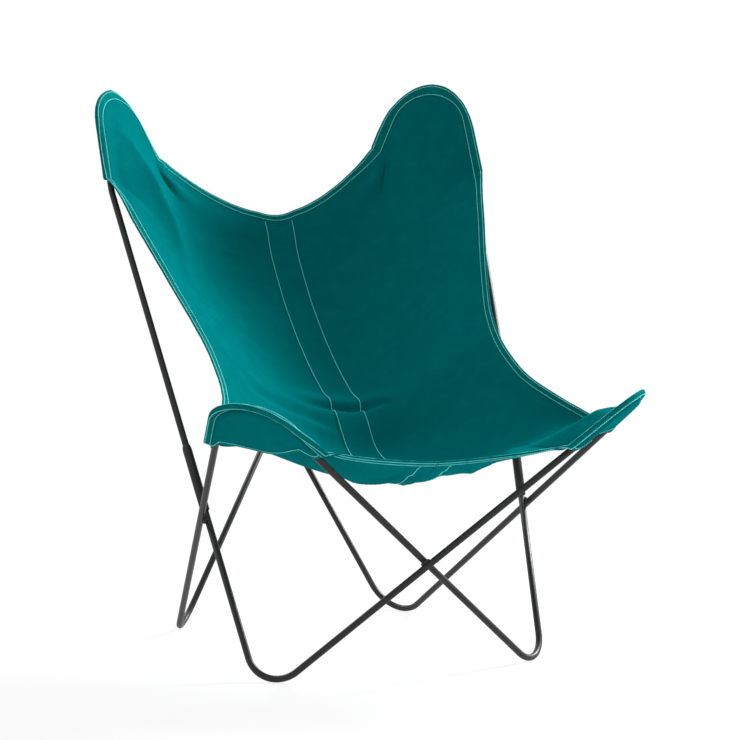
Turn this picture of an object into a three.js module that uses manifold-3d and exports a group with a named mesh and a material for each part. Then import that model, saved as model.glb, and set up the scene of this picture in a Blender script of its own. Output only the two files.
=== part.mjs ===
// Butterfly sling chair: two crossing steel rod frames, two loose back hoops held in
// sleeves, and a canvas sling whose four corner pockets slip over the rod corners.
// Millimetres, +Z up, the sitter faces -Y, +X is to the right seen from the front.
// The feet stand on z = 0 and the origin is below the middle of the whole chair.
import * as THREE from "three";
import Module from "manifold-3d";

// Steel rod
const rodDiameter = 11;
const rodRadius = rodDiameter / 2;
const rodSides = 14;
const fitGap = 0.3;
const crossingSpacing = rodDiameter + fitGap;

// Base frame: virtual corners of the bent rods, for the right side; x is mirrored for the left
const frontFootSpacing = 508;
const frontFootSetback = -238;
const wingCornerSpacing = 744;
const wingCornerSetback = -457;
const wingCornerHeight = 508;
const sideCrossingSpacing = 584;
const sideCrossingSetback = -84;
const sideCrossingHeight = 246;
const backCrossingSetback = 364;
const backCrossingHeight = 377;
const frontFootBend = 52;
const rearFootBend = 64;
const wingBend = 62;
const bendSteps = 9;
const crossingPasses = 12;
const settleFootPasses = 6;

// Sleeves that join a back hoop to the stubs of the base frame
const sleeveLength = 118;
const sleeveWall = 2;
const sleeveTaper = 4;
const sleeveStandOff = 13;
const stubInSleeve = 68;
const legEndGap = 3;
const sleeveSides = 20;

// Back hoops: virtual corners for the right side, and how far the right one sits higher
const hoopKneeSpacing = 698;
const hoopKneeSetback = 253;
const hoopKneeHeight = 783;
const hoopTipSpacing = 690;
const hoopTipSetback = 392;
const hoopTipHeight = 1095;
const hoopRise = 17;
const hoopSway = 12;
const hoopKneeBend = 120;
const hoopTipBend = 64;
const sleeveEndBend = 60;
const sleeveEndRise = 5;

// Weld beads at the four crossings
const beadRadius = 9;
const beadSegments = 16;
const beadClearance = 0.2;
const beadOverrun = 5;

// Canvas cover
const canvas = 1.6;
const hemWidth = 14;
const layerGap = 0.4;
const backPocketFrontReach = 188;
const backPocketRearReach = 148;
const wingPocketSideReach = 150;
const wingPocketFrontReach = 145;
const bandWidth = 54;
const topCentreSetback = 368;
const topCentreHeight = 737;
const frontCentreSetback = -373;
const frontCentreHeight = 357;
const seatLowHeight = 311;
const foldDepth = 9;
const foldLength = 34;
const foldSpan = 120;
const foldPlaceShare = 0.47;

// Cells of the canvas grid: across one half, from top to front, and along a pocket
const acrossCells = 13;
const lengthCells = 36;
const pocketCells = 7;
const rimCells = 2;
const settlePasses = 500;

// Free edges between the pockets: [along, inward or back, down], shares of the chord
const sideEdgeShares = [
  [0, 0, 0], [0.09, 0.028, 0.006], [0.19, 0.052, 0.021], [0.29, 0.077, 0.038],
  [0.39, 0.1, 0.054], [0.5, 0.123, 0.067], [0.6, 0.133, 0.068], [0.69, 0.129, 0.06],
  [0.77, 0.118, 0.046], [0.865, 0.087, 0.02], [1, 0, 0],
];
const topEdgeShares = [
  [0, 0, 0], [0.04, -0.005, 0.014], [0.09, -0.01, 0.022], [0.26, -0.022, 0.064],
  [0.4, -0.028, 0.081], [0.52, -0.029, 0.084], [0.65, -0.026, 0.077], [0.78, -0.02, 0.058],
  [0.88, -0.012, 0.037], [0.95, -0.005, 0.016], [1, 0, 0],
];
const frontEdgeShares = [
  [0, 0, 0], [0.33, 0.035, 0.02], [0.66, 0.04, 0.02], [0.85, 0.023, 0.012], [1, 0, 0],
];
// Centre line: [depth from front to top, height from the lowest seat point to the top]
const centreLineShares = [
  [1, 1], [0.976, 0.93], [0.95, 0.841], [0.9, 0.73], [0.852, 0.634], [0.789, 0.532],
  [0.727, 0.443], [0.664, 0.366], [0.598, 0.295], [0.54, 0.234], [0.482, 0.163],
  [0.426, 0.098], [0.386, 0.061], [0.301, 0.013], [0.229, 0], [0.126, 0.014],
  [0.045, 0.064], [0, 0.108],
];

// Finishes
const steelFinish = { color: 0x2b2b2a, roughness: 0.5, metalness: 0.55 };
const canvasFinish = { color: 0x00696a, roughness: 0.92, metalness: 0 };

const wasm = await Module();
wasm.setup();

const root = new THREE.Group();
const upright = new THREE.Vector3(0, 0, 1);

function addMesh(name, geometry, finish) {
  const mesh = new THREE.Mesh(geometry, new THREE.MeshStandardMaterial(finish));
  mesh.name = name;
  root.add(mesh);
  return mesh;
}

function direction(from, to) {
  return to.clone().sub(from).normalize();
}

function along(from, heading, distance) {
  return from.clone().addScaledVector(heading, distance);
}

function mirrored(point) {
  return new THREE.Vector3(-point.x, point.y, point.z);
}

// Centre, tangent points and arc stations of a bend of given radius at a virtual corner
function bendArc(before, corner, after, radius, steps) {
  const u = direction(corner, before);
  const w = direction(corner, after);
  const half = u.angleTo(w) / 2;
  const bisector = u.clone().add(w).normalize();
  const centre = along(corner, bisector, radius / Math.sin(half));
  const start = along(corner, u, radius / Math.tan(half)).sub(centre);
  const turn = Math.PI - 2 * half;
  const axis = u.clone().cross(w).normalize().negate();
  const stations = [];
  for (let i = 0; i <= steps; i++) {
    stations.push(start.clone().applyAxisAngle(axis, (turn * i) / steps).add(centre));
  }
  return { centre, axis, stations };
}

// A rod's centre line: straight runs between bends, with a station at each end of a run
// and at each step of a bend, so that curve parameter i / count is station i.
class BentRod extends THREE.Curve {
  constructor(corners, radii, steps = bendSteps) {
    super();
    this.stations = [corners[0]];
    for (let i = 1; i + 1 < corners.length; i++) {
      const arc = bendArc(corners[i - 1], corners[i], corners[i + 1], radii[i - 1], steps);
      this.stations.push(...arc.stations);
    }
    this.stations.push(corners[corners.length - 1]);
    this.lengths = [0];
    for (let i = 1; i < this.stations.length; i++) {
      this.lengths.push(this.lengths[i - 1] + this.stations[i].distanceTo(this.stations[i - 1]));
    }
  }

  get count() {
    return this.stations.length - 1;
  }

  getPoint(t, target = new THREE.Vector3()) {
    const place = Math.min(Math.max(t, 0), 1) * this.count;
    const i = Math.min(Math.floor(place), this.count - 1);
    return target.lerpVectors(this.stations[i], this.stations[i + 1], place - i);
  }

  getPointAt(t, target) {
    return this.getPoint(t, target);
  }

  getTangent(t, target = new THREE.Vector3()) {
    const place = Math.round(t * this.count);
    const before = this.stations[Math.max(place - 1, 0)];
    const here = this.stations[place];
    const after = this.stations[Math.min(place + 1, this.count)];
    if (place === 0 || place === this.count) return target.copy(direction(before, after));
    return target.copy(direction(before, here)).add(direction(here, after)).normalize();
  }

  getTangentAt(t, target) {
    return this.getTangent(t, target);
  }

  // Point and heading at a true length along the rod
  atLength(length) {
    let i = 0;
    while (i < this.count - 1 && this.lengths[i + 1] < length) i++;
    const heading = direction(this.stations[i], this.stations[i + 1]);
    return { point: along(this.stations[i], heading, length - this.lengths[i]), heading };
  }

  // Length along the rod of the point nearest to a given one
  lengthNear(point) {
    let best = Infinity;
    let found = 0;
    for (let i = 0; i < this.count; i++) {
      const run = new THREE.Line3(this.stations[i], this.stations[i + 1]);
      const t = run.closestPointToPointParameter(point, true);
      const gap = run.at(t, new THREE.Vector3()).distanceTo(point);
      if (gap < best) {
        best = gap;
        found = this.lengths[i] + t * (this.lengths[i + 1] - this.lengths[i]);
      }
    }
    return found;
  }
}

function rodGeometry(path, radius = rodRadius, sides = rodSides) {
  const section = new THREE.Shape().absarc(0, 0, radius, 0, 2 * Math.PI);
  return new THREE.ExtrudeGeometry(section, {
    steps: path.count,
    curveSegments: sides / 2,
    extrudePath: path,
    bevelEnabled: false,
  });
}

// Height of a foot's virtual corner at which its bend just stands on the floor
function cornerHeight(before, corner, after, radius) {
  const arc = bendArc(before, corner, after, radius, 2);
  const lowest = arc.centre.z - radius * Math.sqrt(1 - arc.axis.z * arc.axis.z);
  return corner.z + rodRadius - lowest;
}

// Both crossing base rods. Each runs from the stub in one side sleeve, down to its front
// foot, up across the front to the opposite wing, down to the opposite rear foot, and up
// to the stub in a back sleeve. Rods that cross lie side by side, one spacing apart.
function baseCorners() {
  const half = crossingSpacing / 2;
  const point = (spacing, y, z, side) => new THREE.Vector3((side * spacing) / 2, y, z);
  let frontHeight = 0;
  let rearHeight = 0;
  let rear = point(frontFootSpacing, backCrossingSetback, 0, 1);
  let frontNormal = new THREE.Vector3(0, -1, 0);
  let backNormal = new THREE.Vector3(0, 1, 0);
  let sideNormal = new THREE.Vector3(1, 0, 0);
  let rods = {};
  for (let pass = 0; pass < crossingPasses; pass++) {
    for (const side of [-1, 1]) {
      // The rod whose front foot is on the left crosses in front, and behind at the back
      const front = along(point(frontFootSpacing, frontFootSetback, frontHeight, side),
        frontNormal, -side * half);
      const wing = along(point(wingCornerSpacing, wingCornerSetback, wingCornerHeight, -side),
        frontNormal, -side * half);
      const crossing = point(sideCrossingSpacing, sideCrossingSetback, sideCrossingHeight, 1);
      const inner = along(crossing, sideNormal, -half);
      const outer = along(crossing, sideNormal, half);
      const near = side < 0 ? mirrored(inner) : inner;
      const far = side < 0 ? outer : mirrored(outer);
      const run = direction(wing, far);
      rear = along(far, run, (rearHeight - far.z) / run.z);
      const back = along(new THREE.Vector3(0, backCrossingSetback, backCrossingHeight),
        backNormal, -side * half);
      rods[side] = { near, front, wing, far, rear, back };
    }
    const a = rods[-1];
    const b = rods[1];
    frontNormal = direction(a.front, a.wing).cross(direction(b.front, b.wing)).normalize();
    if (frontNormal.y > 0) frontNormal.negate();
    backNormal = direction(a.rear, a.back).cross(direction(b.rear, b.back)).normalize();
    if (backNormal.y < 0) backNormal.negate();
    sideNormal = direction(b.front, b.near).cross(direction(a.wing, a.rear)).normalize();
    if (sideNormal.x < 0) sideNormal.negate();
    frontHeight = cornerHeight(b.near, point(frontFootSpacing, frontFootSetback, frontHeight, 1),
      a.front.clone().setX(-wingCornerSpacing / 2).setY(wingCornerSetback).setZ(wingCornerHeight),
      frontFootBend);
    rearHeight = cornerHeight(a.wing, a.rear, a.back, rearFootBend);
  }
  // Each foot of each rod settles on the floor by itself
  for (const side of [-1, 1]) {
    const rod = rods[side];
    for (let pass = 0; pass < settleFootPasses; pass++) {
      const rise = direction(rod.wing, rod.front);
      const foot = cornerHeight(rod.near, rod.front, rod.wing, frontFootBend);
      rod.front = along(rod.wing, rise, (foot - rod.wing.z) / rise.z);
      const run = direction(rod.wing, rod.far);
      const heel = cornerHeight(rod.wing, rod.rear, rod.back, rearFootBend);
      rod.rear = along(rod.far, run, (heel - rod.far.z) / run.z);
    }
  }
  return rods;
}

const corners = baseCorners();
const stubLength = sleeveStandOff + stubInSleeve;

// Headings of the two sleeves that hold one back hoop, and the crossings below them
function sleeveSeats(side) {
  const own = corners[side];
  return {
    front: { foot: own.near, heading: direction(own.front, own.near) },
    rear: { foot: own.back, heading: direction(own.rear, own.back) },
  };
}

const baseRods = {};
for (const side of [-1, 1]) {
  const rod = corners[side];
  const top = along(rod.near, direction(rod.front, rod.near), stubLength);
  const end = along(rod.back, direction(rod.rear, rod.back), stubLength);
  const path = new BentRod([top, rod.front, rod.wing, rod.rear, end],
    [frontFootBend, wingBend, rearFootBend]);
  baseRods[side] = path;
  addMesh(side < 0 ? "base_rod_left_foot" : "base_rod_right_foot", rodGeometry(path), steelFinish);
}

// Back hoops: each leg ends inside its sleeve, just above the base rod's stub
const hoops = {};
const hoopTips = {};
for (const side of [-1, 1]) {
  const seats = sleeveSeats(side);
  const sleeveTop = sleeveStandOff + sleeveLength + sleeveEndRise;
  const place = (seat, distance) => along(seat.foot, seat.heading, distance);
  const knee = new THREE.Vector3((side * hoopKneeSpacing) / 2, hoopKneeSetback, hoopKneeHeight);
  const tip = new THREE.Vector3((side * hoopTipSpacing - hoopSway) / 2, hoopTipSetback,
    hoopTipHeight + side * hoopRise);
  const path = new BentRod(
    [
      place(seats.front, stubLength + legEndGap),
      place(seats.front, sleeveTop),
      knee,
      tip,
      place(seats.rear, sleeveTop),
      place(seats.rear, stubLength + legEndGap),
    ],
    [sleeveEndBend, hoopKneeBend, hoopTipBend, sleeveEndBend],
  );
  hoops[side] = path;
  hoopTips[side] = tip;
  addMesh(side < 0 ? "back_hoop_left" : "back_hoop_right", rodGeometry(path), steelFinish);
}

// A sleeve slips over the stub from above. Its lower end is open and cut square, and its
// upper end is drawn in to the hoop leg.
function sleeveGeometry() {
  const bore = rodRadius + fitGap;
  const outside = bore + sleeveWall;
  const profile = [
    new THREE.Vector2(bore, 0),
    new THREE.Vector2(outside, 0),
    new THREE.Vector2(outside, sleeveLength - sleeveTaper),
    new THREE.Vector2(bore + sleeveWall / 4, sleeveLength),
    new THREE.Vector2(bore, sleeveLength),
    new THREE.Vector2(bore, 0),
  ];
  return new THREE.LatheGeometry(profile, sleeveSides).rotateX(Math.PI / 2);
}

for (const side of [-1, 1]) {
  const seats = sleeveSeats(side);
  for (const [end, seat] of Object.entries(seats)) {
    const name = "sleeve_" + end + (side < 0 ? "_left" : "_right");
    const mesh = addMesh(name, sleeveGeometry(), steelFinish);
    mesh.quaternion.setFromUnitVectors(upright, seat.heading);
    mesh.position.copy(along(seat.foot, seat.heading, sleeveStandOff));
  }
}

// Closed solid of a mesh, for cutting
function solidOf(geometry) {
  const points = [];
  const index = [];
  const seen = new Map();
  const position = geometry.getAttribute("position");
  const order = geometry.index ? Array.from(geometry.index.array)
    : Array.from({ length: position.count }, (_, i) => i);
  for (const i of order) {
    const p = [position.getX(i), position.getY(i), position.getZ(i)];
    const key = p.map((v) => Math.round(v * 1e4)).join(",");
    if (!seen.has(key)) {
      seen.set(key, points.length / 3);
      points.push(...p);
    }
    index.push(seen.get(key));
  }
  const whole = [];
  for (let i = 0; i < index.length; i += 3) {
    const [a, b, c] = index.slice(i, i + 3);
    if (a !== b && b !== c && c !== a) whole.push(a, b, c);
  }
  return new wasm.Manifold(new wasm.Mesh({
    numProp: 3,
    vertProperties: new Float32Array(points),
    triVerts: new Uint32Array(whole),
  }));
}

function geometryOf(solid) {
  const mesh = solid.getMesh();
  return new THREE.BufferGeometry()
    .setAttribute("position", new THREE.BufferAttribute(mesh.vertProperties, 3))
    .setIndex(new THREE.BufferAttribute(mesh.triVerts, 1));
}

// A weld bead wraps the touching sides of two crossing rods
function addBead(name, first, second) {
  const middle = first.point.clone().add(second.point).divideScalar(2);
  const between = direction(first.point, second.point);
  const ball = new THREE.SphereGeometry(beadRadius, beadSegments, beadSegments / 2)
    .scale(1, 1, rodRadius / beadRadius)
    .applyQuaternion(new THREE.Quaternion().setFromUnitVectors(upright, between))
    .translate(middle.x, middle.y, middle.z);
  let solid = solidOf(ball);
  for (const rod of [first, second]) {
    const reach = beadRadius + beadOverrun;
    const run = new BentRod([along(rod.point, rod.heading, -reach),
      along(rod.point, rod.heading, reach)], []);
    solid = solid.subtract(solidOf(rodGeometry(run, rodRadius + beadClearance, 2 * rodSides)));
  }
  addMesh(name, geometryOf(solid), steelFinish);
}

const left = corners[-1];
const right = corners[1];
for (const side of [-1, 1]) {
  const own = corners[side];
  const other = corners[-side];
  addBead(side < 0 ? "weld_left" : "weld_right",
    { point: own.near, heading: direction(own.front, own.near) },
    { point: other.far, heading: direction(other.wing, other.rear) });
}
addBead("weld_back",
  { point: left.back, heading: direction(left.rear, left.back) },
  { point: right.back, heading: direction(right.rear, right.back) });

// Nearest points of two straight runs
function nearest(a, b, c, d) {
  const u = direction(a, b);
  const v = direction(c, d);
  const w = a.clone().sub(c);
  const k = u.dot(v);
  const s = (k * v.dot(w) - u.dot(w)) / (1 - k * k);
  const t = (v.dot(w) - k * u.dot(w)) / (1 - k * k);
  return [{ point: along(a, u, s), heading: u }, { point: along(c, v, t), heading: v }];
}

addBead("weld_front", ...nearest(left.front, left.wing, right.front, right.wing));

// The canvas cover: one half is a grid of acrossCells by lengthCells. Column 0 is the
// centre line, row 0 the top edge, the last column the outer edge and the last row the
// front edge. Two grid corners lie on the tips of the back and front pockets. Three grid
// lines follow the rim: the edge, a line just outside the rod and one just inside it.
const rodCover = rodRadius + layerGap + canvas / 2;
const rodPass = rodRadius + layerGap;
const edgeReach = rodPass + hemWidth;
const topCentre = new THREE.Vector3(0, topCentreSetback, topCentreHeight);
const frontCentre = new THREE.Vector3(0, frontCentreSetback, frontCentreHeight);
const backward = new THREE.Vector3(0, 1, 0);
const downward = upright.clone().negate();
const cell = (i, j) => i * (lengthCells + 1) + j;
const placeOf = (n) => [Math.floor(n / (lengthCells + 1)), n % (lengthCells + 1)];
const rimDepth = ([i, j]) => Math.min(acrossCells - i, j, lengthCells - j);

// A free edge between two anchors, bowed by shares of its chord
function freeEdge(from, to, inward, down, shares) {
  const chord = from.distanceTo(to);
  const points = shares.map(([place, bow, drop]) => from.clone().lerp(to, place)
    .addScaledVector(inward, bow * chord)
    .addScaledVector(down, drop * chord));
  return new THREE.CatmullRomCurve3(points, false, "centripetal");
}

// Stations round a rod corner: rod point, direction out of the canvas and towards the sitter
function rodStations(rod, corner, reachBefore, reachAfter) {
  const cells = pocketCells - rimCells;
  const middle = rod.lengthNear(corner);
  const before = direction(corner, rod.atLength(middle - reachBefore).point);
  const after = direction(corner, rod.atLength(middle + reachAfter).point);
  const facing = before.clone().cross(after).normalize();
  if (facing.z < 0) facing.negate();
  const outside = before.clone().add(after).negate();
  const stations = [];
  for (let k = -cells; k <= cells; k++) {
    const reach = k < 0 ? reachBefore : reachAfter;
    const { point, heading } = rod.atLength(middle + (k / cells) * reach);
    const outward = facing.clone().cross(heading).normalize();
    if (outward.dot(outside) < 0) outward.negate();
    const edge = point.clone().addScaledVector(outward, edgeReach)
      .addScaledVector(facing, rodCover);
    stations.push({ edge, outward, facing: facing.clone(), covered: true });
  }
  return stations;
}

// All stations of one half, from the top centre round to the front centre
function edgeStations(side) {
  const inward = new THREE.Vector3(-side, 0, 0);
  const tip = rodStations(hoops[side], hoopTips[side], backPocketFrontReach, backPocketRearReach)
    .reverse();
  const wing = rodStations(baseRods[-side], corners[-side].wing, wingPocketFrontReach,
    wingPocketSideReach).reverse();
  const last = tip.length - 1;
  const chord = direction(tip[last].edge, wing[0].edge);
  const sideDown = chord.clone().cross(inward).normalize();
  if (sideDown.z > 0) sideDown.negate();
  const top = freeEdge(topCentre, tip[0].edge, backward, downward, topEdgeShares);
  const flank = freeEdge(tip[last].edge, wing[0].edge, inward, sideDown, sideEdgeShares);
  const front = freeEdge(wing[last].edge, frontCentre, backward, downward, frontEdgeShares);
  const free = (curve, cells, from, to) => {
    const stations = [];
    for (let k = from; k <= to; k++) {
      stations.push({ edge: curve.getPointAt(k / cells), covered: false });
    }
    return stations;
  };
  const shortCells = acrossCells - pocketCells;
  const flankCells = lengthCells - 2 * pocketCells;
  return [
    ...free(top, shortCells, 0, shortCells - 1), ...tip,
    ...free(flank, flankCells, 1, flankCells - 1), ...wing,
    ...free(front, shortCells, 1, shortCells),
  ];
}

// Grid places of the stations: the line just inside the rods
function ringPlaces() {
  const across = acrossCells - rimCells;
  const ring = [];
  for (let i = 0; i <= across; i++) ring.push([i, rimCells]);
  for (let j = rimCells + 1; j <= lengthCells - rimCells; j++) ring.push([across, j]);
  for (let i = across - 1; i >= 0; i--) ring.push([i, lengthCells - rimCells]);
  return ring;
}

// Harmonic spread of the fixed places over the rest, level across the centre line
function settle(grid, fixed) {
  const mean = new THREE.Vector3();
  for (let pass = 0; pass < settlePasses; pass++) {
    grid.forEach((point, n) => {
      if (fixed[n]) return;
      const [i, j] = placeOf(n);
      const outside = grid[cell(i + 1, j)];
      const inside = i > 0 ? grid[cell(i - 1, j)] : mirrored(outside);
      mean.copy(outside).add(inside).add(grid[cell(i, j - 1)]).add(grid[cell(i, j + 1)]);
      point.copy(mean.divideScalar(4));
    });
  }
}

// Directions of the grid's surface at every node, facing the sitter
function surfaceNormals(grid, side) {
  return grid.map((_, n) => {
    const [i, j] = placeOf(n);
    const across = grid[cell(Math.min(i + 1, acrossCells), j)].clone()
      .sub(grid[cell(Math.max(i - 1, 0), j)]);
    const down = grid[cell(i, Math.min(j + 1, lengthCells))].clone()
      .sub(grid[cell(i, Math.max(j - 1, 0))]);
    if (i === 0) across.set(side, 0, 0);
    return down.cross(across).multiplyScalar(side).normalize();
  });
}

// Gives the free stations their directions, from the canvas that leaves them
function aimStations(stations, ring, grid, side) {
  const across = acrossCells - rimCells;
  const bottom = lengthCells - rimCells;
  stations.forEach((station, k) => {
    if (station.covered) return;
    const [i, j] = ring[k];
    const before = stations[Math.max(k - 1, 0)].edge;
    const after = stations[Math.min(k + 1, stations.length - 1)].edge;
    const heading = direction(before, after);
    if (i === 0) heading.set(j === rimCells ? side : -side, 0, 0);
    const inside = i === across ? cell(i - rimCells, j)
      : cell(i, j === bottom ? j - rimCells : j + rimCells);
    station.outward = station.edge.clone().sub(grid[inside]);
    station.outward.addScaledVector(heading, -station.outward.dot(heading)).normalize();
    station.facing = station.outward.clone().cross(heading).normalize().multiplyScalar(side);
  });
  for (let pass = 0; pass < rimCells; pass++) {
    const old = stations.map((s) => ({ outward: s.outward.clone(), facing: s.facing.clone() }));
    stations.forEach((station, k) => {
      if (station.covered || k === 0 || k === stations.length - 1) return;
      for (const key of ["outward", "facing"]) {
        station[key].copy(old[k][key]).multiplyScalar(2)
          .add(old[k - 1][key]).add(old[k + 1][key]).normalize();
      }
    });
  }
}

const blend = (a, b) => ({
  edge: a.edge.clone().add(b.edge).divideScalar(2),
  outward: a.outward.clone().add(b.outward).normalize(),
});

// Positions of the whole grid of one half
function coverGrid(side) {
  const stations = edgeStations(side);
  const ring = ringPlaces();
  const across = acrossCells - rimCells;
  const tipPlace = across;
  const wingPlace = ring.length - 1 - across;
  const grid = Array.from({ length: (acrossCells + 1) * (lengthCells + 1) },
    () => new THREE.Vector3());
  const fixed = grid.map((_, n) => rimDepth(placeOf(n)) <= rimCells);
  const set = (i, j, station, inset) => {
    grid[cell(i, j)].copy(station.edge).addScaledVector(station.outward, -inset);
  };

  // A first spread between the bare edges shows how the canvas leaves them
  ring.forEach(([i, j], k) => grid[cell(i, j)].copy(stations[k].edge));
  grid.forEach((point, n) => {
    const [i, j] = placeOf(n);
    if (fixed[n]) return;
    const middle = topCentre.clone().lerp(frontCentre, j / lengthCells);
    point.copy(middle.lerp(grid[cell(across, j)], i / across));
  });
  settle(grid, fixed);
  shapeCentre(grid, rimCells);
  aimStations(stations, ring, grid, side);

  const insets = [0, hemWidth, hemWidth + 2 * rodPass];
  ring.forEach(([i, j], k) => {
    const station = stations[k];
    if (k < tipPlace) insets.forEach((inset, d) => set(i, d, station, inset));
    else if (k > wingPlace) insets.forEach((inset, d) => set(i, lengthCells - d, station, inset));
    else if (k !== tipPlace && k !== wingPlace) {
      insets.forEach((inset, d) => set(acrossCells - d, j, station, inset));
    }
  });
  for (const k of [tipPlace, wingPlace]) {
    // Round a tip the rim's grid lines turn from a row to a column
    const up = k === tipPlace;
    const row = (d) => (up ? d : lengthCells - d);
    const here = stations[k];
    const shortSide = blend(stations[up ? k - 1 : k + 1], here);
    const longSide = blend(here, stations[up ? k + 1 : k - 1]);
    set(across, row(rimCells), here, insets[rimCells]);
    set(acrossCells - 1, row(1), here, insets[1]);
    set(acrossCells, row(0), here, insets[0]);
    set(across, row(1), shortSide, insets[1]);
    set(across, row(0), blend(stations[up ? k - 1 : k + 1], shortSide), insets[0]);
    set(acrossCells - 1, row(0), blend(shortSide, here), insets[0]);
    set(acrossCells - 1, row(rimCells), longSide, insets[1]);
    set(acrossCells, row(1), blend(longSide, here), insets[0]);
    set(acrossCells, row(rimCells), blend(stations[up ? k + 1 : k - 1], longSide), insets[0]);
  }
  settle(grid, fixed);
  shapeCentre(grid, 0);
  foldSeat(grid, side);
  for (let j = 0; j <= lengthCells; j++) grid[cell(0, j)].x = 0;
  return grid;
}

// Bows each row so that the centre line follows its own profile, with a round section
function shapeCentre(grid, margin) {
  const high = topCentreHeight - seatLowHeight;
  const deep = topCentreSetback - frontCentreSetback;
  const profile = new THREE.CatmullRomCurve3(centreLineShares.map(([d, h]) =>
    new THREE.Vector3(0, frontCentreSetback + d * deep, seatLowHeight + h * high)),
  false, "centripetal");
  const lengths = [0];
  for (let j = margin + 1; j <= lengthCells - margin; j++) {
    lengths.push(lengths[lengths.length - 1]
      + grid[cell(0, j)].distanceTo(grid[cell(0, j - 1)]));
  }
  const total = lengths[lengths.length - 1];
  const across = acrossCells - rimCells;
  lengths.forEach((length, k) => {
    const j = margin + k;
    const move = profile.getPointAt(length / total).sub(grid[cell(0, j)]);
    for (let i = 0; i < across; i++) {
      const share = i / across;
      const n = cell(i, j);
      if (i > 0 && rimDepth([i, j]) <= rimCells) continue;
      grid[n].addScaledVector(move, 1 - share * share);
    }
  });
}

// The slack canvas behind the seat makes one fold across the middle
function foldSeat(grid, side) {
  const place = frontCentreSetback + foldPlaceShare * (topCentreSetback - frontCentreSetback);
  const normals = surfaceNormals(grid, side);
  grid.forEach((point, n) => {
    const length = (point.y - place) / foldLength;
    const span = point.x / foldSpan;
    const height = foldDepth * length * Math.exp(0.5 - length * length / 2 - span * span);
    if (rimDepth(placeOf(n)) > rimCells) point.addScaledVector(normals[n], height);
  });
}

// Closed shell over some triangles of a grid, between two distances along its normals
function shellGeometry(grid, normals, triangles, under, over) {
  const used = new Map();
  const points = [];
  const add = (n) => {
    if (!used.has(n)) {
      used.set(n, used.size);
      for (const distance of [under(n), over(n)]) {
        points.push(...grid[n].clone().addScaledVector(normals[n], distance).toArray());
      }
    }
    return used.get(n);
  };
  const index = [];
  const edges = new Map();
  for (const triangle of triangles) {
    const [a, b, c] = triangle.map(add);
    index.push(2 * a + 1, 2 * b + 1, 2 * c + 1, 2 * a, 2 * c, 2 * b);
    for (const [p, q] of [[a, b], [b, c], [c, a]]) {
      if (edges.has(q + "," + p)) edges.delete(q + "," + p);
      else edges.set(p + "," + q, [p, q]);
    }
  }
  for (const [p, q] of edges.values()) {
    index.push(2 * p, 2 * q, 2 * q + 1, 2 * p, 2 * q + 1, 2 * p + 1);
  }
  return new THREE.BufferGeometry()
    .setAttribute("position", new THREE.BufferAttribute(new Float32Array(points), 3))
    .setIndex(index);
}

// Triangles of the grid whose corners all pass a test, wound to face the sitter
function gridTriangles(side, keep) {
  const triangles = [];
  const push = (...places) => {
    if (!places.every(keep)) return;
    const [a, b, c] = places.map(([i, j]) => cell(i, j));
    triangles.push(side < 0 ? [a, b, c] : [a, c, b]);
  };
  for (let i = 0; i < acrossCells; i++) {
    for (let j = 0; j < lengthCells; j++) {
      const a = [i, j];
      const b = [i + 1, j];
      const c = [i + 1, j + 1];
      const d = [i, j + 1];
      if (j < lengthCells / 2) {
        push(a, b, c);
        push(a, c, d);
      } else {
        push(a, b, d);
        push(b, c, d);
      }
    }
  }
  return triangles;
}

const half = canvas / 2;
const layer = canvas + layerGap;
const fromTip = ([i, j]) => acrossCells - i + j;
const fromWing = ([i, j]) => acrossCells - i + lengthCells - j;
const grids = { [-1]: coverGrid(-1), 1: coverGrid(1) };
const facings = {};

// Both halves share one centre line
for (let j = 0; j <= lengthCells; j++) {
  grids[1][cell(0, j)].add(grids[-1][cell(0, j)]).divideScalar(2);
  grids[-1][cell(0, j)].copy(grids[1][cell(0, j)]);
}

for (const side of [-1, 1]) {
  const tag = side < 0 ? "_left" : "_right";
  const grid = grids[side];
  const normals = surfaceNormals(grid, side);
  facings[side] = normals;

  // The two panels meet under the centre band with a fitting gap. Their free edges are
  // folded under once, so the hem is two layers thick.
  const panel = grid.map((p, n) => (placeOf(n)[0] === 0
    ? p.clone().setX((side * fitGap) / 2) : p));
  const pocketed = (n) => Math.min(fromTip(placeOf(n)), fromWing(placeOf(n))) <= pocketCells;
  addMesh("sling_panel" + tag, shellGeometry(panel, normals, gridTriangles(side, () => true),
    (n) => (rimDepth(placeOf(n)) === 0 && !pocketed(n) ? -half - canvas : -half),
    () => half), canvasFinish);

  // A pocket's back layer lies behind the rod and meets the panel at its outer edge
  const behind = (n) => (rimDepth(placeOf(n)) === 0 ? -layer : -2 * rodCover);
  for (const [name, distance] of [["pocket_back", fromTip], ["pocket_front", fromWing]]) {
    const triangles = gridTriangles(side, (p) => distance(p) <= pocketCells);
    addMesh(name + tag, shellGeometry(grid, normals, triangles,
      (n) => behind(n) - half, (n) => behind(n) + half), canvasFinish);
  }
}

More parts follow.
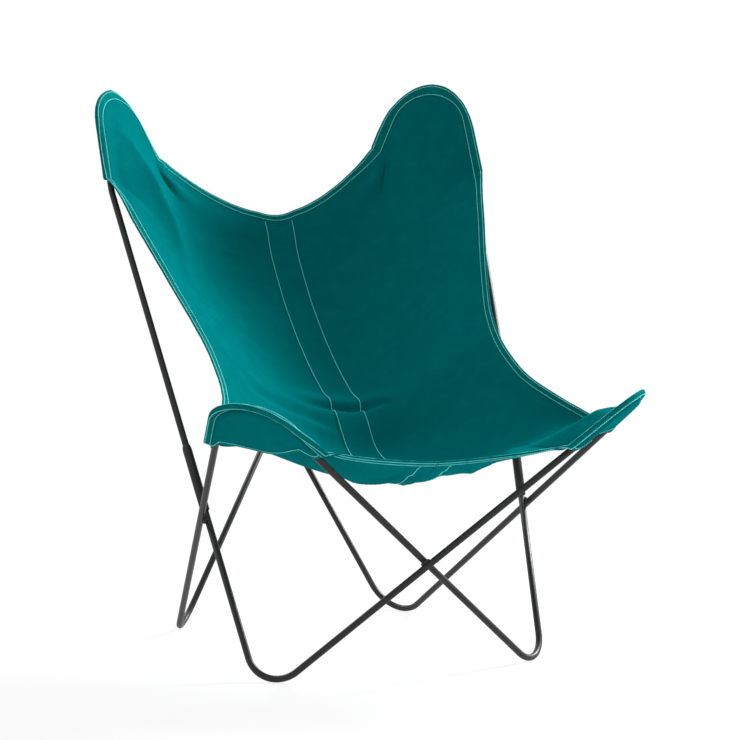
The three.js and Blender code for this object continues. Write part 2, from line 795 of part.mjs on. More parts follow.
// The centre band lies on the sitter's side, over the joint of the two panels
function bandGeometry() {
  const columns = [-1, 0, 1];
  const grid = [];
  const normals = [];
  for (let j = 0; j <= lengthCells; j++) {
    for (const side of columns) {
      const source = grids[side || 1];
      const facing = facings[side || 1];
      let i = 0;
      while (side && Math.abs(source[cell(i + 1, j)].x) < bandWidth / 2) i++;
      const from = source[cell(i, j)];
      const to = source[cell(i + 1, j)];
      const t = side ? (bandWidth / 2 - Math.abs(from.x)) / Math.abs(to.x - from.x) : 0;
      grid.push(from.clone().lerp(to, t));
      normals.push(facing[cell(i, j)].clone().lerp(facing[cell(i + 1, j)], t).normalize());
    }
  }
  const triangles = [];
  for (let j = 0; j < lengthCells; j++) {
    for (let c = 0; c + 1 < columns.length; c++) {
      const a = j * columns.length + c;
      const b = a + 1;
      const d = a + columns.length;
      const e = d + 1;
      // The diagonals follow those of the panels below
      if ((c === 0) === (j < lengthCells / 2)) triangles.push([a, d, b], [b, d, e]);
      else triangles.push([a, d, e], [a, e, b]);
    }
  }
  return shellGeometry(grid, normals, triangles, () => layer - half, () => layer + half);
}

addMesh("centre_band", bandGeometry(), canvasFinish);

// The origin goes to the floor below the middle of the whole chair
const extent = new THREE.Box3().setFromObject(root, true);
const middle = extent.getCenter(new THREE.Vector3()).setZ(extent.min.z);
for (const mesh of root.children) mesh.position.sub(middle);

export default root;
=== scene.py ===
"""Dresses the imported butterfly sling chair: bent steel rods, a sewn canvas sling, a studio.

Metres, +Z up, the sitter faces -Y, the feet stand on z = 0.
"""

import logging
import math
from dataclasses import dataclass, field
from enum import Enum, IntEnum
from typing import Sequence

import bpy
import numpy as np
from mathutils import Matrix, Vector


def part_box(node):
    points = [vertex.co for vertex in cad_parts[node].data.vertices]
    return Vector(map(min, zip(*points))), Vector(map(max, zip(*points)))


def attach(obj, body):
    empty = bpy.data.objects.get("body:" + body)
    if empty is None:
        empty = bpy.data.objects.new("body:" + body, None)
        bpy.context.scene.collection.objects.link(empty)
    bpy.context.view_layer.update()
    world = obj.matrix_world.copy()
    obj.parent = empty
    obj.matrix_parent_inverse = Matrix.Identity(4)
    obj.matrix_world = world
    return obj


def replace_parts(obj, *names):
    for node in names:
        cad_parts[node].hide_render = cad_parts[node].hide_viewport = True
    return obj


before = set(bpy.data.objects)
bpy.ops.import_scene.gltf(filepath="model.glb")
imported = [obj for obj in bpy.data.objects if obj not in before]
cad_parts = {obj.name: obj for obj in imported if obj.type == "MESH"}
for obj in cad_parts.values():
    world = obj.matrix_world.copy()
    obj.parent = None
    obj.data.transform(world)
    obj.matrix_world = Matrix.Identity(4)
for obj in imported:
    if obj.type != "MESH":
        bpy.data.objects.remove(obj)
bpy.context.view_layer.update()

BODY = "root"
UP = np.array([0.0, 0.0, 1.0])
MIRROR = np.array([-1.0, 1.0, 1.0])
WELD_GAP = 0.00005
FLAT_CELL = 0.006
TINY = 1e-12
WHITE = (1.0, 1.0, 1.0)

log = logging.getLogger("sling_chair")


class Side(IntEnum):
    """A side of the chair, as the sign of its x."""

    LEFT = -1
    RIGHT = 1

    @property
    def tag(self) -> str:
        """The side's word in a piece's name."""
        return self.name.lower()

    @property
    def other(self) -> "Side":
        """The side across."""
        return Side(-self)


class SlotName(Enum):
    """The finishes that the part's record names."""

    STEEL = "steel"
    CANVAS = "canvas"


def unit(vector: np.ndarray) -> np.ndarray:
    """Scales vectors to length one along their last axis."""
    return vector / np.maximum(np.linalg.norm(vector, axis=-1, keepdims=True), TINY)


def towards(vector: np.ndarray, guide: np.ndarray) -> np.ndarray:
    """The vector, or its opposite if it points away from the guide."""
    return -vector if vector @ guide < 0 else vector


def pace(points: np.ndarray) -> np.ndarray:
    """Running length along a row of points, starting at zero."""
    steps = np.linalg.norm(np.diff(points, axis=0), axis=1)
    return np.concatenate([[0.0], np.cumsum(steps)])


def spread(points: np.ndarray, places: np.ndarray, at: np.ndarray) -> np.ndarray:
    """Reads a row of vectors at new places."""
    return np.stack([np.interp(at, places, points[:, k]) for k in range(points.shape[1])], 1)


def ease(value: np.ndarray) -> np.ndarray:
    """Smooth step from 0 to 1."""
    t = np.clip(value, 0.0, 1.0)
    return t * t * (3 - 2 * t)


def from_rim(rows: int, columns: int) -> np.ndarray:
    """Steps from each place of a grid to the grid's nearest side."""
    down, along = (np.minimum(np.arange(n), np.arange(n)[::-1]) for n in (rows, columns))
    return np.minimum.outer(down, along)


def centripetal(knots: np.ndarray, samples: int) -> np.ndarray:
    """Smooth curve through knots that doesn't overshoot between close ones.

    Args:
        knots: The points that the curve passes through.
        samples: Points per span.

    Returns:
        The curve's points.
    """
    ends = [2 * knots[0] - knots[1], 2 * knots[-1] - knots[-2]]
    rows = np.vstack([ends[:1], knots, ends[1:]])
    curve = []
    for k in range(len(knots) - 1):
        a, b, c, d = rows[k : k + 4]
        before, span, after = (math.sqrt(np.linalg.norm(q - p)) for p, q in ((a, b), (b, c), (c, d)))
        leave = ((b - a) / before - (c - a) / (before + span) + (c - b) / span) * span
        reach = ((c - b) / span - (d - b) / (span + after) + (d - c) / after) * span
        t = np.linspace(0, 1, samples, endpoint=False)[:, None]
        cubic = 2 * b - 2 * c + leave + reach
        square = -3 * b + 3 * c - 2 * leave - reach
        curve.append(b + t * leave + t * t * square + t ** 3 * cubic)
    return np.vstack([*curve, knots[-1:]])


def evenly(points: np.ndarray, shares: np.ndarray) -> np.ndarray:
    """Points at shares of a curve's length."""
    lengths = pace(points)
    return spread(points, lengths, shares * lengths[-1])


class Sock:
    """A value in a finish that can be summed and scaled like a number."""

    def __init__(self, tree: bpy.types.NodeTree, out: bpy.types.NodeSocket) -> None:
        """Wraps an output of a node in its tree."""
        self.tree = tree
        self.out = out

    def maths(self, operation: str, first: "Sock | float", second: "Sock | float" = 0.0) -> "Sock":
        """Adds one Math node.

        Args:
            operation: The node's operation.
            first: Its first value.
            second: Its second value.

        Returns:
            The node's result.
        """
        node = self.tree.nodes.new("ShaderNodeMath")
        node.operation = operation
        for socket, value in zip(node.inputs, (first, second)):
            if isinstance(value, Sock):
                self.tree.links.new(value.out, socket)
            else:
                socket.default_value = value
        return Sock(self.tree, node.outputs[0])

    def __add__(self, other: "Sock | float") -> "Sock":
        """Sum."""
        return self.maths("ADD", self, other)

    def __radd__(self, other: float) -> "Sock":
        """Sum with a number in front."""
        return self.maths("ADD", other, self)

    def __sub__(self, other: "Sock | float") -> "Sock":
        """Difference."""
        return self.maths("SUBTRACT", self, other)

    def __mul__(self, other: "Sock | float") -> "Sock":
        """Product."""
        return self.maths("MULTIPLY", self, other)

    def sine(self) -> "Sock":
        """Sine of an angle in radians."""
        return self.maths("SINE", self)

    def clamp(self) -> "Sock":
        """Held between 0 and 1."""
        return self.maths("MINIMUM", self.maths("MAXIMUM", self, 0.0), 1.0)


@dataclass(frozen=True)
class Grain:
    """One layer of smooth noise: its cells per metre, octaves and their roughness."""

    scale: float
    detail: float = 2.0
    rough: float = 0.5


class Shading:
    """The node tree of one finish, or of the world."""

    def __init__(self, owner: bpy.types.Material | bpy.types.World) -> None:
        """Empties the owner's node tree.

        Args:
            owner: The material or world that the nodes belong to.
        """
        owner.use_nodes = True
        self.owner = owner
        self.tree = owner.node_tree
        self.tree.nodes.clear()

    def add(self, kind: str, settings: dict | None = None, values: dict | None = None,
            out: int | str = 0) -> Sock:
        """Adds any node.

        Args:
            kind: The node's type.
            settings: Its settings, set first.
            values: Numbers, colours or links of its sockets, by name or place.
            out: The output that is wanted.

        Returns:
            That output.
        """
        node = self.tree.nodes.new(kind)
        for key, value in (settings or {}).items():
            setattr(node, key, value)
        for key, value in (values or {}).items():
            if isinstance(value, Sock):
                self.tree.links.new(value.out, node.inputs[key])
            elif isinstance(value, tuple) and node.inputs[key].type == "RGBA":
                node.inputs[key].default_value = (*value, 1.0)
            else:
                node.inputs[key].default_value = value
        return Sock(self.tree, node.outputs[out] if node.outputs else None)

    def place(self) -> Sock:
        """Places on the piece, in metres."""
        return self.add("ShaderNodeTexCoord", None, None, "Object")

    def noise(self, place: Sock, grain: Grain) -> Sock:
        """Smooth noise from 0 to 1."""
        values = {"Vector": place, "Scale": grain.scale, "Detail": grain.detail,
                  "Roughness": grain.rough}
        return self.add("ShaderNodeTexNoise", None, values, "Fac")

    def mix(self, share: Sock | float, first: Sock | tuple, second: Sock | tuple) -> Sock:
        """Blend of two colours."""
        values = {0: share, 6: first, 7: second}
        return self.add("ShaderNodeMix", {"data_type": "RGBA"}, values, 2)

    def bump(self, height: Sock) -> Sock:
        """Directions of a surface with this height in metres."""
        return self.add("ShaderNodeBump", None, {"Height": height, "Distance": 1.0, "Strength": 1.0})

    def finish(self, surface: Sock) -> bpy.types.Material:
        """Joins the surface to the material's output."""
        self.add("ShaderNodeOutputMaterial", None, {"Surface": surface})
        return self.owner


@dataclass(frozen=True)
class CanvasFinish:
    """Heavy dyed cotton canvas with a visible plain weave."""

    name: str = "canvas"
    shade: tuple[float, float, float] = (0.0, 0.12, 0.127)
    bright: tuple[float, float, float] = (0.0, 0.165, 0.173)
    worn: tuple[float, float, float] = (0.01, 0.22, 0.21)
    wear: float = 0.12
    wear_start: float = 1.02
    wear_contrast: float = 5.0
    threads: float = 1150.0
    weave_depth: float = 0.00008
    slub_depth: float = 0.00026
    pucker: float = 0.0
    slub_grain: Grain = Grain(420.0, 3.0, 0.62)
    patch_grain: Grain = Grain(34.0, 4.0, 0.6)
    broad_grain: Grain = Grain(5.0)
    gather_grain: Grain = Grain(95.0, 2.0, 0.55)
    slub_share: float = 0.35
    patch_share: float = 0.45
    broad_share: float = 0.35
    weave_share: float = 0.05
    tone_drop: float = 0.2
    roughness: float = 0.86
    patch_roughness: float = 0.1
    sheen: float = 0.06
    sheen_roughness: float = 0.5
    sheen_tint: tuple[float, float, float] = (0.0, 0.8, 0.82)

    def material(self) -> bpy.types.Material:
        """Makes the cloth's material.

        Returns:
            The material.
        """
        shading = Shading(bpy.data.materials.new(self.name))
        place = shading.place()
        flat = shading.add("ShaderNodeUVMap", {"uv_map": "cloth"})
        along = shading.add("ShaderNodeSeparateXYZ", None, {0: flat}, "X")
        across = Sock(shading.tree, along.out.node.outputs["Y"])
        turns = 2 * math.pi * self.threads
        weave = (along * turns).sine() * (across * turns).sine()
        slub = shading.noise(place, self.slub_grain)
        patch = shading.noise(place, self.patch_grain)
        broad = shading.noise(place, self.broad_grain)
        tone = (broad * self.broad_share + patch * self.patch_share + slub * self.slub_share
                + weave * self.weave_share - self.tone_drop).clamp()
        colour = shading.mix(tone, self.shade, self.bright)
        rub = ((slub + patch - self.wear_start) * self.wear_contrast).clamp() * self.wear
        colour = shading.mix(rub, colour, self.worn)
        relief = weave * self.weave_depth + slub * self.slub_depth
        if self.pucker:
            relief = relief + shading.noise(place, self.gather_grain) * self.pucker
        surface = shading.add("ShaderNodeBsdfPrincipled", None, {
            "Base Color": colour, "Roughness": self.roughness + patch * self.patch_roughness,
            "Normal": shading.bump(relief), "Specular IOR Level": 0.0,
            "Sheen Weight": self.sheen, "Sheen Roughness": self.sheen_roughness,
            "Sheen Tint": self.sheen_tint,
        })
        return shading.finish(surface)


@dataclass(frozen=True)
class ThreadFinish:
    """Pale twisted sewing thread."""

    name: str = "thread"
    shade: tuple[float, float, float] = (0.12, 0.78, 0.79)
    bright: tuple[float, float, float] = (0.27, 0.95, 0.96)
    fuzz_grain: Grain = Grain(900.0, 3.0, 0.6)
    run_grain: Grain = Grain(45.0)
    grain_share: float = 0.6
    tone_drop: float = 0.1
    fuzz_depth: float = 0.00012
    roughness: float = 0.62
    fuzz_roughness: float = 0.2
    gloss: float = 0.15

    def material(self) -> bpy.types.Material:
        """Makes the thread's material.

        Returns:
            The material.
        """
        shading = Shading(bpy.data.materials.new(self.name))
        place = shading.place()
        fuzz = shading.noise(place, self.fuzz_grain)
        run = shading.noise(place, self.run_grain)
        tone = (fuzz * self.grain_share + run * self.grain_share - self.tone_drop).clamp()
        surface = shading.add("ShaderNodeBsdfPrincipled", None, {
            "Base Color": shading.mix(tone, self.shade, self.bright),
            "Roughness": self.roughness + fuzz * self.fuzz_roughness,
            "Normal": shading.bump(fuzz * self.fuzz_depth), "Specular IOR Level": self.gloss,
        })
        return shading.finish(surface)


@dataclass(frozen=True)
class SteelFinish:
    """Black powder coat on steel rod, with a fine orange-peel skin."""

    name: str = "steel"
    shade: tuple[float, float, float] = (0.014, 0.014, 0.0135)
    bright: tuple[float, float, float] = (0.03, 0.03, 0.029)
    peel_grain: Grain = Grain(1300.0)
    smear_grain: Grain = Grain(26.0, 4.0, 0.6)
    lump_grain: Grain = Grain(210.0)
    smear_contrast: float = 1.3
    smear_drop: float = 0.15
    skin: float = 0.00006
    lumps: float = 0.0
    roughness: float = 0.36
    smear_roughness: float = 0.14
    peel_roughness: float = 0.05
    coat: float = 0.03
    smear_coat: float = 0.05
    coat_roughness: float = 0.22
    gloss: float = 0.24

    def material(self) -> bpy.types.Material:
        """Makes the powder coat's material.

        Returns:
            The material.
        """
        shading = Shading(bpy.data.materials.new(self.name))
        place = shading.place()
        peel = shading.noise(place, self.peel_grain)
        smear = shading.noise(place, self.smear_grain)
        tone = (smear * self.smear_contrast - self.smear_drop).clamp()
        relief = peel * self.skin
        if self.lumps:
            relief = relief + shading.noise(place, self.lump_grain) * self.lumps
        rough = self.roughness + smear * self.smear_roughness + peel * self.peel_roughness
        surface = shading.add("ShaderNodeBsdfPrincipled", None, {
            "Base Color": shading.mix(tone, self.shade, self.bright), "Roughness": rough,
            "Normal": shading.bump(relief), "Specular IOR Level": self.gloss,
            "Coat Weight": self.coat + smear * self.smear_coat,
            "Coat Roughness": self.coat_roughness,
        })
        return shading.finish(surface)


def stand(name: str, data: bpy.types.ID) -> bpy.types.Object:
    """Puts a new object into the scene.

    Args:
        name: Its name.
        data: Its mesh, lamp or camera.

    Returns:
        The object.
    """
    thing = bpy.data.objects.new(name, data)
    bpy.context.scene.collection.objects.link(thing)
    return thing


def thicken(piece: bpy.types.Object, thickness: float) -> None:
    """Gives a sheet its thickness, half to each side.

    Args:
        piece: The sheet.
        thickness: The thickness.
    """
    shell = piece.modifiers.new("cloth_thickness", "SOLIDIFY")
    shell.thickness = thickness
    shell.offset = 0


@dataclass
class Mesh:
    """Vertices, faces and flat cloth places of a piece in the making."""

    points: list[np.ndarray] = field(default_factory=list)
    faces: list[Sequence[int]] = field(default_factory=list)
    flat: list[np.ndarray] = field(default_factory=list)
    count: int = 0

    def grid(self, points: np.ndarray, flat: np.ndarray | None = None, turn: bool = False,
             closed: bool = False) -> None:
        """Adds a grid of quads.

        Args:
            points: Rows by columns of points.
            flat: The same grid on the flat cloth.
            turn: Whether the faces look the other way.
            closed: Whether the last column joins the first.
        """
        rows, columns = points.shape[:2]
        index = self.count + np.arange(rows * columns).reshape(rows, columns)
        self.points.append(points.reshape(-1, 3))
        self.flat.append(np.zeros((rows * columns, 2)) if flat is None else flat.reshape(-1, 2))
        self.count += rows * columns
        beside = np.roll(index, -1, 1) if closed else index[:, 1:]
        here = index if closed else index[:, :-1]
        quads = np.stack([here[:-1], beside[:-1], beside[1:], here[1:]], -1).reshape(-1, 4)
        self.faces.extend((quads[:, ::-1] if turn else quads).tolist())

    def cap(self, first: int, count: int, turn: bool) -> None:
        """Closes a ring of points that starts at one index."""
        ring = list(range(self.count - first, self.count - first + count))
        self.faces.append(ring[::-1] if turn else ring)

    def piece(self, name: str, material: bpy.types.Material, slot: SlotName,
              weld: bool = False) -> bpy.types.Object:
        """Makes the piece and lets it ride on the chair.

        Args:
            name: The piece's name.
            material: Its finish.
            slot: Not used.
            weld: Whether points on the same place become one.

        Returns:
            The new object.
        """
        mesh = bpy.data.meshes.new(name)
        mesh.from_pydata(np.vstack(self.points).tolist(), [], self.faces)
        layer = mesh.uv_layers.new(name="cloth")
        corner = np.zeros(len(mesh.loops), dtype=np.int64)
        mesh.loops.foreach_get("vertex_index", corner)
        layer.data.foreach_set("uv", np.vstack(self.flat)[corner].ravel())
        mesh.polygons.foreach_set("use_smooth", [True] * len(mesh.polygons))
        mesh.materials.append(material)
        mesh.validate()
        piece = stand(name, mesh)
        if weld:
            merge = piece.modifiers.new("joined", "WELD")
            merge.merge_threshold = WELD_GAP
        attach(piece, BODY)
        log.info("%s: %d points, %d faces", name, len(mesh.vertices), len(mesh.polygons))
        return piece


@dataclass
class Bend:
    """One bend of a rod: its arc's centre, axis and points."""

    centre: np.ndarray
    axis: np.ndarray
    stations: np.ndarray

    @classmethod
    def at(cls, before: np.ndarray, corner: np.ndarray, after: np.ndarray, radius: float,
           steps: int) -> "Bend":
        """Rounds a virtual corner.

        Args:
            before: A point on the run that comes in.
            corner: The virtual corner.
            after: A point on the run that goes out.
            radius: The bend's radius.
            steps: How many steps the arc has.

        Returns:
            The bend.
        """
        u, w = unit(before - corner), unit(after - corner)
        half = math.acos(float(np.clip(u @ w, -1, 1))) / 2
        centre = corner + unit(u + w) * radius / math.sin(half)
        start = corner + u * radius / math.tan(half) - centre
        axis = -unit(np.cross(u, w))
        turns = np.linspace(0, math.pi - 2 * half, steps + 1)[:, None]
        arc = centre + start * np.cos(turns) + np.cross(axis, start) * np.sin(turns)
        return cls(centre, axis, arc)


class RodPath:
    """A rod's centre line: straight runs between round bends."""

    steps = 28
    askew = np.array([0.3, 0.1, 0.0])

    def __init__(self, corners: Sequence[np.ndarray], radii: Sequence[float]) -> None:
        """Rounds every inner corner.

        Args:
            corners: Both ends and the virtual corners between them.
            radii: One radius per inner corner.
        """
        bends = [Bend.at(*corners[k:k + 3], radius, self.steps) for k, radius in enumerate(radii)]
        self.stations = np.vstack([corners[0], *(bend.stations for bend in bends), corners[-1]])
        self.lengths = pace(self.stations)

    def at(self, length: float) -> tuple[np.ndarray, np.ndarray]:
        """Reads the rod at a length from its start.

        Args:
            length: The length.

        Returns:
            The point and the heading there.
        """
        k = int(np.clip(np.searchsorted(self.lengths, length) - 1, 0, len(self.lengths) - 2))
        heading = unit(self.stations[k + 1] - self.stations[k])
        return self.stations[k] + heading * (length - self.lengths[k]), heading

    def near(self, point: np.ndarray) -> float:
        """Finds the place on the rod that is nearest to a point.

        Args:
            point: The point.

        Returns:
            That place's length from the rod's start.
        """
        begin, run = self.stations[:-1], np.diff(self.stations, axis=0)
        share = np.clip(((point - begin) * run).sum(1) / np.maximum((run ** 2).sum(1), TINY), 0, 1)
        gap = np.linalg.norm(begin + run * share[:, None] - point, axis=1)
        k = int(gap.argmin())
        return float(self.lengths[k] + share[k] * (self.lengths[k + 1] - self.lengths[k]))

    def tube(self, mesh: Mesh, radius: float, sides: int) -> None:
        """Adds a closed round tube along the rod.

        Args:
            mesh: The mesh that gets the tube.
            radius: The tube's radius.
            sides: How many sides its section has.
        """
        headings = unit(np.gradient(self.stations, axis=0))
        side = unit(np.cross(headings[0], UP + self.askew))
        rings = []
        angles = np.linspace(0, 2 * math.pi, sides, endpoint=False)[:, None]
        for point, heading in zip(self.stations, headings):
            side = unit(side - heading * (side @ heading))
            lift = np.cross(heading, side)
            rings.append(point + radius * (np.cos(angles) * side + np.sin(angles) * lift))
        mesh.grid(np.array(rings), closed=True)
        total = len(rings) * sides
        mesh.cap(total, sides, True)
        mesh.cap(sides, sides, False)


@dataclass
class BaseFrame:
    """The two crossing base rods: how far apart their corners and crossings are."""

    rod: float = 0.011
    fit_gap: float = 0.0003
    front_foot_spacing: float = 0.508
    front_foot_setback: float = -0.238
    wing_spacing: float = 0.744
    wing_setback: float = -0.457
    wing_height: float = 0.508
    side_crossing_spacing: float = 0.584
    side_crossing_setback: float = -0.084
    side_crossing_height: float = 0.246
    back_crossing_setback: float = 0.364
    back_crossing_height: float = 0.377
    front_foot_bend: float = 0.052
    rear_foot_bend: float = 0.064
    wing_bend: float = 0.062
    passes: int = 12
    foot_passes: int = 6

    def corner_height(self, before: np.ndarray, corner: np.ndarray, after: np.ndarray,
                      radius: float) -> float:
        """Finds how high a foot's virtual corner is when its bend stands on the floor.

        Args:
            before: A point on the run that comes in.
            corner: The virtual corner, at any height.
            after: A point on the run that goes out.
            radius: The bend's radius.

        Returns:
            The virtual corner's height.
        """
        bend = Bend.at(before, corner, after, radius, 2)
        lowest = bend.centre[2] - radius * math.sqrt(1 - bend.axis[2] ** 2)
        return corner[2] + self.rod / 2 - lowest

    def corners(self) -> dict[Side, dict[str, np.ndarray]]:
        """Finds the virtual corners at which both rods just pass each other and stand level.

        Returns:
            The corners by name, for each side of the front foot.
        """
        half = (self.rod + self.fit_gap) / 2
        front_height = rear_height = 0.0
        front_normal = np.array([0.0, -1.0, 0.0])
        back_normal = np.array([0.0, 1.0, 0.0])
        side_normal = np.array([1.0, 0.0, 0.0])
        rods: dict[Side, dict[str, np.ndarray]] = {}

        def place(spacing: float, y: float, z: float, side: int) -> np.ndarray:
            """A point by its spacing across the chair."""
            return np.array([side * spacing / 2, y, z])

        for _ in range(self.passes):
            for side in Side:
                front = place(self.front_foot_spacing, self.front_foot_setback, front_height,
                              side) - side * half * front_normal
                wing = place(self.wing_spacing, self.wing_setback, self.wing_height,
                             -side) - side * half * front_normal
                crossing = place(self.side_crossing_spacing, self.side_crossing_setback,
                                 self.side_crossing_height, 1)
                inner, outer = crossing - half * side_normal, crossing + half * side_normal
                near = inner * MIRROR if side < 0 else inner
                far = outer if side < 0 else outer * MIRROR
                run = unit(far - wing)
                rear = far + run * (rear_height - far[2]) / run[2]
                back = np.array([0.0, self.back_crossing_setback,
                                 self.back_crossing_height]) - side * half * back_normal
                rods[side] = dict(near=near, front=front, wing=wing, far=far, rear=rear, back=back)
            a, b = rods[Side.LEFT], rods[Side.RIGHT]
            cross = unit(np.cross(a["wing"] - a["front"], b["wing"] - b["front"]))
            front_normal = towards(cross, front_normal)
            cross = unit(np.cross(a["back"] - a["rear"], b["back"] - b["rear"]))
            back_normal = towards(cross, back_normal)
            cross = unit(np.cross(b["near"] - b["front"], a["rear"] - a["wing"]))
            side_normal = towards(cross, side_normal)
            front_height = self.corner_height(
                b["near"], place(self.front_foot_spacing, self.front_foot_setback, front_height, 1),
                place(self.wing_spacing, self.wing_setback, self.wing_height, -1),
                self.front_foot_bend)
            rear_height = self.corner_height(a["wing"], a["rear"], a["back"], self.rear_foot_bend)
        for rod in rods.values():
            for _ in range(self.foot_passes):
                rise = unit(rod["front"] - rod["wing"])
                foot = self.corner_height(rod["near"], rod["front"], rod["wing"],
                                          self.front_foot_bend)
                rod["front"] = rod["wing"] + rise * (foot - rod["wing"][2]) / rise[2]
                run = unit(rod["far"] - rod["wing"])
                heel = self.corner_height(rod["wing"], rod["rear"], rod["back"],
                                          self.rear_foot_bend)
                rod["rear"] = rod["far"] + run * (heel - rod["far"][2]) / run[2]
        return rods


@dataclass
class Hoops:
    """The two back hoops: their corners for the right side, and how the right one differs."""

    knee_spacing: float = 0.698
    knee_setback: float = 0.253
    knee_height: float = 0.783
    tip_spacing: float = 0.69
    tip_setback: float = 0.392
    tip_height: float = 1.095
    rise: float = 0.017
    sway: float = 0.012
    knee_bend: float = 0.12
    tip_bend: float = 0.064
    end_bend: float = 0.06
    end_rise: float = 0.005
    end_gap: float = 0.003

    def tip(self, side: Side) -> np.ndarray:
        """Virtual corner at the top of one hoop."""
        return np.array([(side * self.tip_spacing - self.sway) / 2, self.tip_setback,
                         self.tip_height + side * self.rise])

    def knee(self, side: Side) -> np.ndarray:
        """Virtual corner half way up the hoop's front leg."""
        return np.array([side * self.knee_spacing / 2, self.knee_setback, self.knee_height])


@dataclass
class Steelwork:
    """All the steel: base rods, hoops, the sleeves between them and the weld beads."""

    base: BaseFrame = field(default_factory=BaseFrame)
    hoop: Hoops = field(default_factory=Hoops)
    sleeve_length: float = 0.118
    sleeve_wall: float = 0.002
    sleeve_taper: float = 0.004
    sleeve_stand_off: float = 0.013
    stub_in_sleeve: float = 0.068
    bore_depth: float = 0.012
    bead_radius: float = 0.009
    bead_pole: float = 0.05
    bead_ripples: tuple = ((9, 0.05, 0.0), (5, 0.03, 1.0))
    bead_rings: int = 14
    bead_sides: int = 36
    rod_sides: int = 28
    sleeve_sides: int = 32
    askew: tuple[float, float, float] = (0.2, 1.0, 0.1)

    def __post_init__(self) -> None:
        """Lays out both base rods and both hoops, and moves them into the frame."""
        crossing = (Vector(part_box("weld_back")[0]) + Vector(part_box("weld_back")[1])) / 2
        middle = np.array([0.0, self.base.back_crossing_setback, self.base.back_crossing_height])
        self.shift = np.array(crossing) - middle
        self.corners = self.base.corners()
        self.stub = self.sleeve_stand_off + self.stub_in_sleeve
        self.rods = {side: self.base_rod(side) for side in Side}
        self.hoops = {side: self.back_hoop(side) for side in Side}
        self.steel = SteelFinish().material()
        self.bead_finish = SteelFinish(name="weld_bead", lumps=0.0009, roughness=0.46).material()

    def seats(self, side: Side) -> dict[str, tuple[np.ndarray, np.ndarray]]:
        """Finds where one hoop's sleeves stand.

        Args:
            side: The hoop's side.

        Returns:
            Foot and heading of the front and the rear sleeve.
        """
        own = self.corners[side]
        return {"front": (own["near"], unit(own["near"] - own["front"])),
                "rear": (own["back"], unit(own["back"] - own["rear"]))}

    def base_rod(self, side: Side) -> RodPath:
        """Lays out one base rod.

        Args:
            side: The side of its front foot.

        Returns:
            Its centre line.
        """
        rod, seats = self.corners[side], self.seats(side)
        ends = [foot + heading * self.stub for foot, heading in seats.values()]
        bends = [self.base.front_foot_bend, self.base.wing_bend, self.base.rear_foot_bend]
        return RodPath([ends[0], rod["front"], rod["wing"], rod["rear"], ends[1]], bends)

    def back_hoop(self, side: Side) -> RodPath:
        """Lays out one back hoop.

        Args:
            side: Its side.

        Returns:
            Its centre line.
        """
        (near, rise), (back, lean) = self.seats(side).values()
        top = self.sleeve_stand_off + self.sleeve_length + self.hoop.end_rise
        end = self.stub + self.hoop.end_gap
        route = [near + rise * end, near + rise * top, self.hoop.knee(side), self.hoop.tip(side),
                 back + lean * top, back + lean * end]
        bends = [self.hoop.end_bend, self.hoop.knee_bend, self.hoop.tip_bend, self.hoop.end_bend]
        return RodPath(route, bends)

    def add_rod(self, name: str, path: RodPath) -> None:
        """Makes one smooth rod in place of its faceted one.

        Args:
            name: The faceted rod's node.
            path: Its centre line.
        """
        mesh = Mesh()
        path.tube(mesh, self.base.rod / 2, self.rod_sides)
        mesh.points = [points + self.shift for points in mesh.points]
        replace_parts(mesh.piece(name + "_round", self.steel, SlotName.STEEL), name)

    def add_sleeve(self, name: str, foot: np.ndarray, heading: np.ndarray) -> None:
        """Makes one sleeve with eased lips, drawn in to the hoop leg at its top.

        Args:
            name: The plain sleeve's node.
            foot: The place on the base rod that it is measured from.
            heading: Its way up.
        """
        bore = self.base.rod / 2 + self.base.fit_gap
        outside, length, lip = bore + self.sleeve_wall, self.sleeve_length, self.sleeve_wall / 4
        profile = np.array([
            (bore, self.bore_depth), (bore, lip), (bore + lip, 0), (outside - lip, 0), (outside, lip),
            (outside, length - 2 * self.sleeve_taper),
            (outside - lip / 2, length - self.sleeve_taper * 1.3),
            (bore + self.sleeve_wall / 2, length - self.sleeve_taper / 3),
            (bore + lip, length - lip), (bore - lip, length),
        ])
        across = unit(np.cross(heading, self.askew))
        lift = np.cross(heading, across)
        angles = np.linspace(0, 2 * math.pi, self.sleeve_sides, endpoint=False)[:, None]
        ring = np.cos(angles) * across + np.sin(angles) * lift
        start = foot + heading * self.sleeve_stand_off + self.shift
        mesh = Mesh()
        mesh.grid(np.array([start + r * ring + z * heading for r, z in profile]), closed=True)
        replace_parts(mesh.piece(name + "_turned", self.steel, SlotName.STEEL), name)

    def add_bead(self, name: str, between: np.ndarray) -> None:
        """Makes one rippled weld bead between two crossing rods.

        Args:
            name: The plain bead's node.
            between: The way from one rod to the other.
        """
        low, high = (np.array(corner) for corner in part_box(name))
        across = unit(np.cross(between, UP))
        lift = np.cross(between, across)
        angle = np.linspace(0, 2 * math.pi, self.bead_sides, endpoint=False)[:, None]
        ripple = sum((deep * np.sin(count * angle + phase)
                      for count, deep, phase in self.bead_ripples), 1)
        ring = np.cos(angle) * across + np.sin(angle) * lift
        rows = []
        for turn in np.linspace(self.bead_pole, math.pi - self.bead_pole, self.bead_rings):
            out = self.bead_radius * math.sin(turn) * ripple
            centre = (low + high) / 2 + between * self.base.rod / 2 * math.cos(turn)
            rows.append(centre + out * ring)
        mesh = Mesh()
        mesh.grid(np.array(rows), closed=True)
        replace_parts(mesh.piece(name + "_bead", self.bead_finish, SlotName.STEEL), name)

